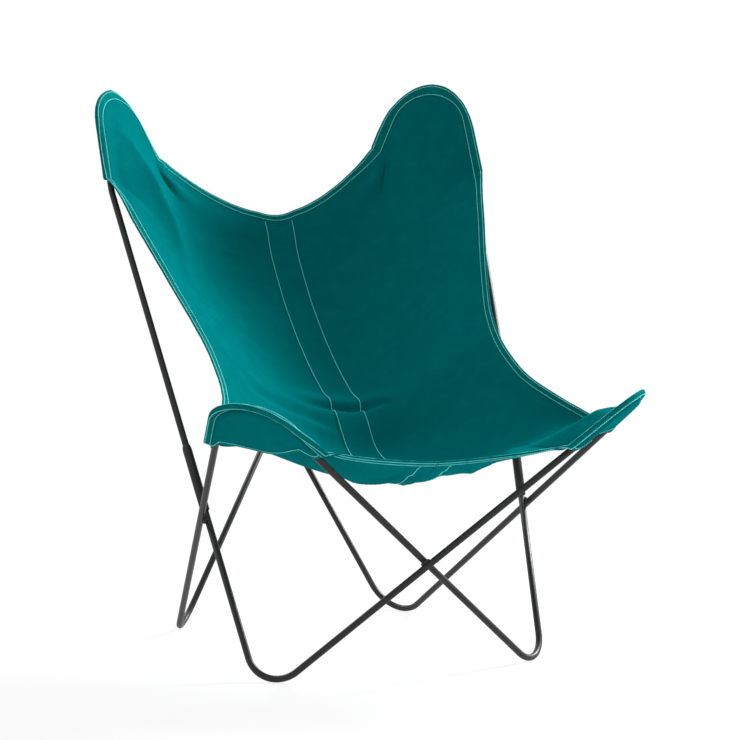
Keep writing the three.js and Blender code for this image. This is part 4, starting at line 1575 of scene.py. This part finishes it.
@dataclass
class Cover:
    """The canvas cover: two panels, hems, the centre band, four pockets and all stitching."""

    shape: SlingShape
    hem_stitches: tuple[float, float] = (0.0026, 0.0124)
    wing_stitch: float = 0.0102
    hem_raise: float = 0.0012
    hem_seed: int = 11
    hem_sample: float = 0.0028
    hem_lap: float = 0.0006
    hem_under: float = 0.9
    hem_sink: float = 0.0002
    waves: tuple = ((0.0003, 46), (0.0002, 90), (0.00016, 160))
    wave_drift: float = 3.0
    drift_rates: tuple[float, float] = (9, 17)
    edge_wave: float = 0.35
    full_wave: float = 0.26
    rim_steps: tuple = (0.0, 0.0026, 0.0059, 0.0086)
    hem_shares: tuple = (1.06, 0.96, 0.8, 0.6, 0.38, 0.17, 0.06, 0.0)
    flange_shares: tuple = (0.02, 0.2, 0.45, 0.75, 0.94, 0.995)
    wrap_points: int = 7
    wrap_tail: float = 0.0029
    flange_gap: float = 0.002
    pack_gap: float = 0.0018
    pack_window: int = 9
    bulge_width: float = 0.005
    dip_start: float = 0.002
    dip_width: float = 0.008
    band_cells: int = 4
    band_lift: float = 0.8
    weave_shift: float = 0.4
    back_weave_shift: float = 0.04
    mouth_density: int = 4
    mouth_trim: int = 5
    mouth_raise: float = 0.0006
    tack_length: float = 0.01
    wing_sample: float = 0.09
    rod_bulge: float = 0.0003
    flange_drop: float = 0.0016
    band_half: float = 0.0282
    band_stitch: float = 0.0262
    thickness: float = 0.0013
    mouth_hem_cells: float = 0.26
    mouth_stitch_cells: float = 0.215
    stitch_sink: float = 0.0001
    sample: float = 0.003
    wing_mouth_drop: float = 0.95
    wing_mouth_bow: float = 0.24

    def __post_init__(self) -> None:
        """Makes the finishes."""
        self.canvas = CanvasFinish().material()
        self.hem_cloth = CanvasFinish(name="canvas_hem", shade=(0.0, 0.122, 0.12),
                                      bright=(0.002, 0.19, 0.18), wear=0.4,
                                      pucker=0.0014).material()
        self.thread = ThreadFinish().material()
        hem, ring = self.shape.hem_width, self.shape.ring_inset
        self.insets = np.concatenate([ring - np.array(self.rim_steps),
                                      hem * np.array(self.hem_shares)])

    def lift(self, rim: Rim, inset: np.ndarray) -> np.ndarray:
        """Height of the top layer over the rim: it bulges on a rod and dips at the seam beside it.

        Args:
            rim: The stations.
            inset: One distance in from the edge for each station.

        Returns:
            The heights.
        """
        centre = self.shape.edge_reach
        bulge = self.rod_bulge * np.exp(-((inset - centre) / self.bulge_width) ** 2)
        flange = -self.flange_drop * ease((centre - self.dip_start - inset) / self.dip_width)
        return rim.covered * (bulge + flange)

    def surface(self, rim: Rim, inset: float | np.ndarray,
                raise_by: float | np.ndarray = 0.0) -> np.ndarray:
        """Finds points of the top layer."""
        inset = np.broadcast_to(np.asarray(inset, float), (len(rim.edge),))
        return rim.line(inset, self.lift(rim, inset) + raise_by)

    def pack(self, rim: Rim) -> np.ndarray:
        """Finds how far the hem reaches behind, where it also holds a pocket's back layer.

        Args:
            rim: The stations.

        Returns:
            One depth per station.
        """
        window = np.hanning(self.pack_window)
        held = np.pad(rim.covered, self.pack_window // 2, mode="edge")
        held = np.convolve(held, window / window.sum(), mode="valid")
        return held * (self.flange_drop + self.pack_gap + self.thickness)

    def flat_places(self) -> np.ndarray:
        """Lays the sheet's grid flat for the weave.

        Returns:
            Two lengths per place, across from the centre line and down from the top.
        """
        sheet = self.shape.sheet
        across = np.linalg.norm(np.diff(sheet, axis=0), axis=2)
        down = np.linalg.norm(np.diff(sheet, axis=1), axis=2)
        u = np.vstack([np.zeros((1, sheet.shape[1])), np.cumsum(across, 0)])
        u -= u[self.shape.span]
        v = np.hstack([np.zeros((sheet.shape[0], 1)), np.cumsum(down, 1)])
        return np.stack([u, v], -1)

    def add_panel(self, side: Side) -> bpy.types.Object:
        """Makes one panel of the sling with its rim.

        Args:
            side: The panel's side.

        Returns:
            The panel.
        """
        shape = self.shape
        flat = self.flat_places()
        span = shape.span
        rows = slice(0, span + 1) if side < 0 else slice(span, None)
        mesh = Mesh()
        mesh.grid(shape.sheet[rows], flat[rows])
        rim = shape.rims[side]
        ring = shape.ring()
        ring_flat = flat[span + side * ring[:, 0], ring[:, 1]]
        strip = np.array([self.surface(rim, inset) for inset in self.insets])
        strip[0] = shape.sheet[span + side * ring[:, 0], ring[:, 1]]
        out = np.gradient(ring_flat, axis=0)
        out = side * unit(np.stack([out[:, 1], -out[:, 0]], 1))
        strip_flat = np.array([ring_flat + out * (self.insets[0] - inset) for inset in self.insets])
        mesh.grid(strip, strip_flat, turn=side < 0)
        piece = mesh.piece(f"panel_{side.tag}", self.canvas, SlotName.CANVAS, weld=True)
        thicken(piece, self.thickness)
        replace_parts(piece, f"sling_panel_{side.tag}")
        return piece

    def add_hem(self, side: Side) -> bpy.types.Object:
        """Makes the folded hem, which wraps the edge and lies on the sitter's side.

        Args:
            side: The hem's side.

        Returns:
            The hem.
        """
        rim = self.shape.rims[side]
        half = self.thickness / 2
        top = half + self.hem_raise
        fold, lap = self.shape.hem_width, self.hem_lap
        rim_seam, seam = self.hem_stitches
        profile = ((fold, half * 0.4), (fold - 0.0001, top * 0.8), (fold - 0.0005, top),
                   (seam, top - 0.0004), (seam - 0.0012, top + 0.0001),
                   (fold * 0.65, top + 0.0003), (fold * 0.42, top + 0.0003),
                   (rim_seam + 0.0012, top + 0.0001), (rim_seam, top - 0.0003),
                   (rim_seam - 0.0012, top), (0.0002, top * 0.75), (-lap, half),
                   (-lap, -half), (0.0, -half * 1.6), (rim_seam - 0.0012, -half * 1.9),
                   (rim_seam, -half * 1.6), (fold * 0.36, -half * 1.8), (fold * 0.7, -half * 1.8),
                   (seam, -half * 1.5), (fold - 0.0004, -half * 1.2), (fold, -half * 0.4))
        lengths = pace(rim.edge)
        dense = np.arange(0, lengths[-1], self.hem_sample)
        places = np.interp(dense, lengths, np.arange(len(lengths)))
        fine = rim.at(places)
        rng = np.random.default_rng(self.hem_seed + side)
        waves = np.zeros(len(dense))
        for size, count in self.waves:
            drift = self.wave_drift * np.sin(dense * rng.uniform(*self.drift_rates))
            turns = 2 * math.pi * dense / lengths[-1] * count
            waves += size * np.sin(turns + drift + rng.uniform(0, 6))
        strip, cloth = [], []
        pack = self.pack(fine)
        for inset, height in profile:
            pull = 1.0 if abs(inset - fold / 2) < fold * self.full_wave else self.edge_wave
            swell = waves * pull * np.sign(height)
            if height < 0:
                swell = swell - pack * ease((inset + lap) / (2 * lap))
            place = inset * self.hem_under if height < 0 and inset > seam - 0.001 else inset
            strip.append(self.surface(fine, place, height + swell))
            cloth.append(np.c_[dense, inset + self.back_weave_shift * (height < 0) + 0 * dense])
        mesh = Mesh()
        mesh.grid(np.array(strip), np.array(cloth), turn=side < 0)
        return mesh.piece(f"hem_{side.tag}", self.hem_cloth, SlotName.CANVAS)

    def centre_rows(self) -> tuple[np.ndarray, np.ndarray]:
        """Rows of the cover across its middle, from the top hem to the front hem.

        Returns:
            Points and directions towards the sitter, rows by columns.
        """
        shape = self.shape
        width = self.band_cells * shape.fine
        facing = shape.facing()
        rows, ways = [], []
        left, right = shape.rims[Side.LEFT], shape.rims[Side.RIGHT]

        def rim_row(inset: float, last: bool) -> None:
            """Adds one row across the rim.

            Args:
                inset: Distance in from the edge.
                last: Whether it is at the front rather than at the top.
            """
            pick = slice(-1 - width, None) if last else slice(0, width + 1)
            halves = []
            for rim in (left, right):
                part = rim.part(pick)
                points, way = self.surface(part, inset), part.normal(inset)
                halves.append((points[::-1], way[::-1]) if last else (points, way))
            rows.append(np.vstack([halves[0][0][:0:-1], halves[1][0]]))
            ways.append(np.vstack([halves[0][1][:0:-1], halves[1][1]]))

        core = slice(shape.span - width, shape.span + width + 1)
        steps = self.shape.hem_width + np.array([-0.001, 0.0024, 0.0066])
        for inset in steps:
            rim_row(inset, False)
        for j in range(shape.reach + 1):
            rows.append(shape.sheet[core, j])
            ways.append(facing[core, j])
        for inset in steps[::-1]:
            rim_row(inset, True)
        return np.array(rows), np.array(ways)

    def across_middle(self, places: Sequence[float]) -> tuple[np.ndarray, np.ndarray]:
        """Reads the cover's middle rows at places left and right of the centre.

        Args:
            places: Distances from the centre, left ones negative.

        Returns:
            Points and directions towards the sitter, rows by places.
        """
        rows, ways = self.centre_rows()
        at = np.array(places)
        points = np.array([spread(row, row[:, 0], at) for row in rows])
        return points, unit(np.array([spread(way, row[:, 0], at) for row, way in zip(rows, ways)]))

    def add_band(self) -> bpy.types.Object:
        """Makes the band over the joint of the two panels.

        Returns:
            The band.
        """
        half, wide = self.thickness / 2, self.band_half
        top = half + self.thickness * self.band_lift
        section = ((-wide, half * 0.2), (-wide, top * 0.85), (-wide + 0.0006, top),
                   (-self.band_stitch, top - 0.0003), (-self.band_stitch + 0.002, top + 0.0001),
                   (-0.018, top), (-0.009, top), (0, top), (0.009, top), (0.018, top),
                   (self.band_stitch - 0.002, top + 0.0001), (self.band_stitch, top - 0.0003),
                   (wide - 0.0006, top), (wide, top * 0.85), (wide, half * 0.2))
        points, ways = self.across_middle([x for x, _ in section])
        points = points + ways * np.array([h for _, h in section])[None, :, None]
        down = pace(points[:, len(section) // 2])
        flat = np.stack([np.broadcast_to([x for x, _ in section], points.shape[:2]),
                         np.broadcast_to(down[:, None], points.shape[:2])], -1)
        mesh = Mesh()
        mesh.grid(points, flat + np.array([self.weave_shift, 0.0]), turn=False)
        piece = mesh.piece("band", self.canvas, SlotName.CANVAS)
        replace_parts(piece, "centre_band")
        return piece

    def mouth_cells(self, front: bool) -> float:
        """Counts the coarse cells from a pocket's tip to its mouth, on the back layer.

        Args:
            front: Whether it is a wing pocket.

        Returns:
            The cells.
        """
        reach = self.shape.pocket_cells + self.shape.rim_cells
        return reach + (round(self.wing_mouth_drop * self.shape.fine) / self.shape.fine
                        if front else 0)

    def behind(self, side: Side, front: bool, p: np.ndarray, q: np.ndarray
               ) -> tuple[np.ndarray, np.ndarray]:
        """Points of the plain sheet that a pocket's back layer follows, and the way out behind.

        Args:
            side: The pocket's side.
            front: Whether it is a wing pocket.
            p: Cells in from the flank's ring.
            q: Cells in from the top or front ring.

        Returns:
            The points and the ways.
        """
        shape = self.shape
        share = p / np.maximum(p + q, 1e-6)
        bow = 1 + (self.wing_mouth_bow * np.sin(math.pi * share) ** 2 if front else 0 * share)
        u, v = side * (shape.across_cells - p * bow), q * bow
        v = shape.length_cells - v if front else v
        return (shape.read(u, v, shape.plain), -unit(shape.read(u, v, shape.facing(plain=True))))

    def covered_span(self) -> tuple[float, float]:
        """Finds the first and the last coarse station that a pocket covers."""
        middle = self.shape.across_cells
        return middle - self.shape.pocket_cells, middle + self.shape.pocket_cells

    def wrap_insets(self) -> np.ndarray:
        """Lists where a pocket's back layer is shaped as it turns round the rod.

        Returns:
            Distances in from the edge.
        """
        centre, radius = self.shape.edge_reach, self.shape.rod_cover
        start = centre - radius
        flange = start * np.array(self.flange_shares)
        turns = np.linspace(0.0, math.pi / 2, self.wrap_points)
        wrap = centre - radius * np.cos(turns)
        return np.concatenate([flange, wrap, [centre + self.wrap_tail, self.shape.ring_inset]])

    def back_depth(self, inset: np.ndarray) -> np.ndarray:
        """Finds how deep a pocket's back layer lies, wrapped round the rod.

        Args:
            inset: Distances in from the edge.

        Returns:
            Depths below the top layer's line.
        """
        deep, radius, centre = 2 * self.shape.rod_cover, self.shape.rod_cover, self.shape.edge_reach
        wrap = np.sqrt(np.maximum(radius ** 2 - np.minimum(inset - centre, 0) ** 2, 0))
        flange = self.flange_drop + self.flange_gap
        return np.where(inset >= centre - radius - 1e-7, deep - radius + wrap, flange)

    def mouth_stations(self, side: Side, front: bool, cells: float, insets: np.ndarray
                       ) -> tuple[np.ndarray, np.ndarray]:
        """Finds where a line parallel to a pocket's mouth crosses the rim at its two ends.

        Args:
            side: The pocket's side.
            front: Whether it is a wing pocket.
            cells: Coarse cells from the pocket's tip.
            insets: Distances in from the edge.

        Returns:
            Fractional stations of the first and of the last end, one for each inset.
        """
        shape = self.shape
        reach = cells - shape.rim_cells - insets / shape.ring_inset * shape.rim_cells
        begin, end = self.covered_span()
        first = np.maximum(shape.across_cells - reach, begin) * shape.fine
        last = np.minimum(shape.across_cells + reach, end) * shape.fine
        total = len(shape.rims[side].edge) - 1
        return (total - first, total - last) if front else (first, last)

    def mouth(self, side: Side, front: bool, cells: float, raise_by: float = 0.0
              ) -> tuple[np.ndarray, np.ndarray]:
        """A line across a pocket's back layer, parallel to its mouth.

        Args:
            side: The pocket's side.
            front: Whether it is a wing pocket.
            cells: Coarse cells from the pocket's tip.
            raise_by: How far behind the layer's middle the line lies.

        Returns:
            Points of the line and the way out behind.
        """
        shape = self.shape
        rim, reach = shape.rims[side], cells - 2 * shape.rim_cells
        insets = self.wrap_insets()
        insets[-1] -= self.hem_sink
        stations = self.mouth_stations(side, front, cells, insets)

        def edge_part(places: np.ndarray) -> tuple[np.ndarray, np.ndarray]:
            """Finds points over the rim at stations that shift with the inset.

            Args:
                places: The stations, one for each inset.

            Returns:
                The points and the way out behind.
            """
            part = rim.at(places)
            depth = self.back_depth(insets) + raise_by
            return part.line(insets, -depth), -part.normal(insets)

        p = np.linspace(reach, 0, self.mouth_density * shape.fine)
        core, way = self.behind(side, front, p, reach - p)
        core = core + way * (2 * shape.rod_cover + raise_by)
        (first, out_a), (last, out_b) = (edge_part(places) for places in stations)
        return (np.vstack([first, core, last[::-1]]), np.vstack([out_a, way, out_b[::-1]]))

    def add_pocket(self, side: Side, front: bool) -> list[bpy.types.Object]:
        """Makes a pocket's back layer and the hem at its mouth.

        Args:
            side: The pocket's side.
            front: Whether it is a wing pocket.

        Returns:
            The layer and its hem.
        """
        shape = self.shape
        name = ("pocket_front_" if front else "pocket_back_") + side.tag
        full = self.mouth_cells(front)
        size = round((full - 2 * shape.rim_cells) * shape.fine)
        insets = self.wrap_insets()
        rows, flats = [], []
        for inset, *ends in zip(insets, *self.mouth_stations(side, front, full, insets)):
            places = np.linspace(*ends, 2 * size + 1)
            inset = np.full(len(places), inset)
            rows.append(shape.rims[side].at(places).line(inset, -self.back_depth(inset)))
            flats.append(np.c_[places * FLAT_CELL, inset])
        mesh = Mesh()
        turn = (side < 0) ^ front
        mesh.grid(np.array(rows), np.array(flats), turn=turn)
        index = {(p, q): mesh.count + n for n, (p, q) in enumerate(
            (p, q) for p in range(size + 1) for q in range(size + 1 - p))}
        places = np.array(list(index), float)
        points, way = self.behind(side, front, *places.T / shape.fine)
        points, flat = points + way * 2 * shape.rod_cover, places * FLAT_CELL
        # The rim's last row and the core's first ones meet on the same places
        for k in range(size + 1):
            points[index[size - k, 0] - mesh.count] = rows[-1][k]
            points[index[0, k] - mesh.count] = rows[-1][size + k]
        mesh.points.append(points)
        mesh.flat.append(flat)
        mesh.count += len(points)
        for p in range(size):
            for q in range(size - p):
                face = [index[p, q], index[p + 1, q]]
                if p + q + 2 <= size:
                    face.append(index[p + 1, q + 1])
                face.append(index[p, q + 1])
                mesh.faces.append(face if turn else face[::-1])
        layer = mesh.piece(name + "_layer", self.canvas, SlotName.CANVAS, weld=True)
        thicken(layer, self.thickness)
        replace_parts(layer, name)
        return [layer, self.add_mouth_hem(name, side, front, full)]

    def add_mouth_hem(self, name: str, side: Side, front: bool, full: float) -> bpy.types.Object:
        """Makes the folded hem at a pocket's mouth.

        Args:
            name: The pocket's name.
            side: The pocket's side.
            front: Whether it is a wing pocket.
            full: Coarse cells from the pocket's tip to its mouth.

        Returns:
            The hem.
        """
        half = self.thickness / 2
        profile = ((0.0, -half * 1.2), (-0.012, -half), (-0.014, half), (0.0, half + 0.0008),
                   (0.05, half + 0.0011), (0.16, half + 0.0011),
                   (self.mouth_stitch_cells, half + 0.0007),
                   (0.235, half + 0.001), (self.mouth_hem_cells, half + 0.0008),
                   (self.mouth_hem_cells + 0.004, half * 0.4))
        rows = [self.mouth(side, front, full - back, height)[0] for back, height in profile]
        mesh = Mesh()
        points = np.array(rows)
        down = pace(points[0])
        flat = np.stack([np.broadcast_to(down, points.shape[:2]),
                         np.broadcast_to([[b * 0.03] for b, _ in profile], points.shape[:2])], -1)
        mesh.grid(points, flat, turn=(side < 0) ^ front)
        return mesh.piece(name + "_hem", self.hem_cloth, SlotName.CANVAS)

    def add_stitches(self, side: Side) -> bpy.types.Object:
        """Sews the hem and the pockets of one side.

        Args:
            side: The side.

        Returns:
            All its stitches.
        """
        stitching = Stitching()
        rim = self.shape.rims[side]
        lengths = pace(rim.edge)
        dense = np.arange(0, lengths[-1], self.sample)
        fine = rim.at(np.interp(dense, lengths, np.arange(len(lengths))))
        half = self.thickness / 2
        pack = self.pack(fine)
        for inset, under in zip(self.hem_stitches, (1.0, self.hem_under)):
            stitching.run(self.surface(fine, inset, half + self.hem_raise - self.hem_sink),
                          fine.normal(inset))
            below = inset * under
            stitching.run(self.surface(fine, below, -half * 1.6 - self.stitch_sink - pack),
                          -fine.normal(below))
        begin, end = (round(self.shape.fine * c) for c in self.covered_span())
        total = len(rim.edge) - 1
        wing = rim.at(np.arange(total - end, total - begin, self.wing_sample))
        stitching.run(self.surface(wing, self.wing_stitch, half + self.hem_raise - self.hem_sink),
                      wing.normal(self.wing_stitch))
        for front in (False, True):
            cells = self.mouth_cells(front) - self.mouth_stitch_cells
            line, out = (rows[self.mouth_trim:-self.mouth_trim]
                         for rows in self.mouth(side, front, cells, half + self.mouth_raise))
            stitching.run(line, out)
            for tip, way in ((line[0], line[2] - line[0]), (line[-1], line[-3] - line[-1])):
                stitching.tack(tip, way, out[0], self.tack_length)
        return stitching.mesh.piece(f"stitches_{side.tag}", self.thread, SlotName.CANVAS)

    def add_band_stitches(self) -> bpy.types.Object:
        """Sews the centre band down, on both faces of the cover.

        Returns:
            All its stitches.
        """
        stitching = Stitching()
        half = self.thickness / 2
        top = half + self.thickness * self.band_lift
        points, ways = self.across_middle([-self.band_stitch, self.band_stitch])
        for column in (0, 1):
            line, way = points[1:-1, column], ways[1:-1, column]
            stitching.run(line + way * (top - self.stitch_sink), way)
            stitching.run(line - way * (half + self.stitch_sink), -way)
        return stitching.mesh.piece("stitches_band", self.thread, SlotName.CANVAS)

    def build(self) -> None:
        """Makes every canvas piece and measures what each sheet was cut to."""
        band = self.add_band()
        band_sewing = self.add_band_stitches()
        for side in Side:
            panel = self.add_panel(side)
            hem = self.add_hem(side)
            sewing = self.add_stitches(side)
            wide, long = self.sheet_size(side)
            min(self.sheet_area(side), wide * long)
            for front in (False, True):
                layer, mouth_hem = self.add_pocket(side, front)
                wide, long = self.pocket_size(front)
                cloth = sum(face.area for face in layer.data.polygons)
                min(cloth, wide * long)
        length = float(pace(self.across_middle([0.0])[0][:, 0])[-1])

    def sheet_area(self, side: Side) -> float:
        """Measures one panel with its rim.

        Args:
            side: The panel's side.

        Returns:
            Its area.
        """
        sheet, span = self.shape.sheet, self.shape.span
        part = sheet[:span + 1] if side < 0 else sheet[span:]
        across, down = np.diff(part, axis=0)[:, :-1], np.diff(part, axis=1)[:-1]
        core = float(np.linalg.norm(np.cross(across, down), axis=2).sum())
        return core + float(pace(self.shape.rims[side].edge)[-1]) * self.shape.ring_inset

    def sheet_size(self, side: Side) -> tuple[float, float]:
        """Measures what one panel is cut from.

        Args:
            side: The panel's side.

        Returns:
            Width and length.
        """
        shape = self.shape
        sheet, span = shape.sheet, shape.span
        rows = [pace(sheet[span:, j] if side > 0 else sheet[span::-1, j])[-1]
                for j in range(0, shape.reach + 1, shape.fine)]
        columns = [pace(sheet[span + side * i])[-1] for i in range(0, span + 1, shape.fine)]
        return float(max(rows)) + shape.ring_inset, float(max(columns)) + 2 * shape.ring_inset

    def pocket_size(self, front: bool) -> tuple[float, float]:
        """Measures what one pocket is cut from.

        Args:
            front: Whether it is a wing pocket.

        Returns:
            Width and length.
        """
        shape = self.shape
        reaches = ((shape.wing_pocket_side_reach, shape.wing_pocket_front_reach) if front else
                   (shape.back_pocket_front_reach, shape.back_pocket_rear_reach))
        return reaches[0] + shape.edge_reach, reaches[1] + shape.edge_reach


@dataclass(frozen=True)
class Lamp:
    """One soft square lamp: where it stands, its side, its power in watts and what it faces."""

    name: str
    place: tuple[float, float, float]
    size: float
    power: float
    aim: tuple[float, float, float] = (0.0, 0.0, 0.5)

    def light(self) -> None:
        """Puts the lamp in the scene."""
        data = bpy.data.lights.new(self.name, "AREA")
        data.size, data.energy = self.size, self.power
        lamp = stand(self.name, data)
        lamp.location = self.place
        lamp.rotation_mode = "QUATERNION"
        way = Vector(self.aim) - Vector(self.place)
        lamp.rotation_quaternion = way.to_track_quat("-Z", "Y")


@dataclass
class Studio:
    """Camera, pale floor, white surround and soft lamps."""

    eye: tuple[float, float, float] = (-1.4727, -3.6781, 0.7544)
    ahead: tuple[float, float, float] = (0.37857, 0.92293, -0.06989)
    right: tuple[float, float, float] = (0.92524, -0.37937, 0.00205)
    lens: float = 112.85
    sensor: float = 36.0
    sight: float = 100.0
    world_light: float = 0.57
    floor_reach: float = 14.0
    floor_depth: float = 0.0005
    floor_shade: float = 0.8
    speck_shade: float = 0.76
    speck_share: float = 0.04
    floor_glow: float = 0.86
    shadow_reach: float = 0.8
    shadow_fade: float = 0.9
    grain: Grain = Grain(3.0)
    lamps: tuple[Lamp, ...] = (
        Lamp("key_lamp", (2.95, 0.55, 2.35), 0.8, 238.0),
        Lamp("top_lamp", (-0.66, 2.46, 3.05), 1.6, 70.0),
    )

    def add_camera(self, shift: np.ndarray) -> None:
        """Puts the camera where the photograph was taken.

        Args:
            shift: How far the chair stands from the place for which the camera was found.
        """
        data = bpy.data.cameras.new("camera")
        data.lens, data.sensor_width = self.lens, self.sensor
        data.clip_end = self.sight
        camera = stand("camera", data)
        back, right = -unit(np.array(self.ahead)), unit(np.array(self.right))
        up = np.cross(back, right)
        turn = Matrix([list(row) for row in np.stack([right, up, back], 1)]).to_4x4()
        camera.matrix_world = Matrix.Translation(Vector(np.array(self.eye) + shift)) @ turn
        bpy.context.scene.camera = camera

    def seen(self, shading: Shading) -> Sock:
        """Tells the rays that show the surround itself from those that light the chair.

        Args:
            shading: The material or world whose rays are told apart.

        Returns:
            1 for the first kind, 0 for the second.
        """
        path = shading.add("ShaderNodeLightPath", None, None, "Is Camera Ray")
        rays = [Sock(shading.tree, path.out.node.outputs[name])
                for name in ("Is Glossy Ray", "Is Transmission Ray")]
        return (path + rays[0] + rays[1]).clamp()

    def add_world(self) -> None:
        """Makes the world, white to look at, and a plain soft light on the chair."""
        world = bpy.data.worlds.new("studio")
        bpy.context.scene.world = world
        shading = Shading(world)
        white = shading.add("ShaderNodeBackground", None, {"Color": WHITE, "Strength": 1.0})
        light = shading.add("ShaderNodeBackground", None,
                            {"Color": WHITE, "Strength": self.world_light})
        both = shading.add("ShaderNodeMixShader", None, {0: self.seen(shading), 1: light, 2: white})
        shading.add("ShaderNodeOutputWorld", None, {"Surface": both})

    def add_floor(self) -> None:
        """Makes a pale floor that keeps the chair's soft shadow."""
        shading = Shading(bpy.data.materials.new("studio_floor"))
        place = shading.place()
        specks = shading.noise(place, self.grain) * self.speck_share
        colour = shading.mix(specks, (self.floor_shade,) * 3, (self.speck_shade,) * 3)
        away = shading.add("ShaderNodeVectorMath", {"operation": "LENGTH"}, {0: place}, "Value")
        far = ((away - self.shadow_reach) * self.shadow_fade).clamp()
        matt = shading.add("ShaderNodeBsdfDiffuse", None, {"Color": colour, "Roughness": 0.0})
        glow = shading.add("ShaderNodeEmission", None, {"Color": WHITE, "Strength": 1.0})
        share = self.seen(shading) * (self.floor_glow + far * (1 - self.floor_glow))
        surface = shading.add("ShaderNodeMixShader", None, {0: share, 1: matt, 2: glow})
        half = self.floor_reach
        mesh = bpy.data.meshes.new("studio_floor")
        mesh.from_pydata([(-half, -half, 0), (half, -half, 0), (half, half, 0), (-half, half, 0)],
                         [], [(0, 1, 2, 3)])
        mesh.materials.append(shading.finish(surface))
        floor = stand("studio_floor", mesh)
        floor.location.z = -self.floor_depth

    def build(self, shift: np.ndarray) -> None:
        """Makes the whole studio.

        Args:
            shift: How far the chair stands from the place for which the camera was found.
        """
        self.add_camera(shift)
        self.add_world()
        self.add_floor()
        for lamp in self.lamps:
            lamp.light()
        bpy.context.scene.view_settings.view_transform = "Standard"


def main() -> None:
    """Builds the studio, the steelwork and the cover, in that order."""
    logging.basicConfig(level=logging.INFO, format="%(message)s")
    steelwork = Steelwork()
    Studio().build(steelwork.shift)
    steelwork.build()
    shape = SlingShape(steelwork)
    Draping().settle(shape)
    shape.join_rim()
    shape.crease(BACK_FOLDS + SEAT_FOLDS + BELLY_FOLDS)
    Cover(shape).build()


if __name__ == "__main__":
    main()
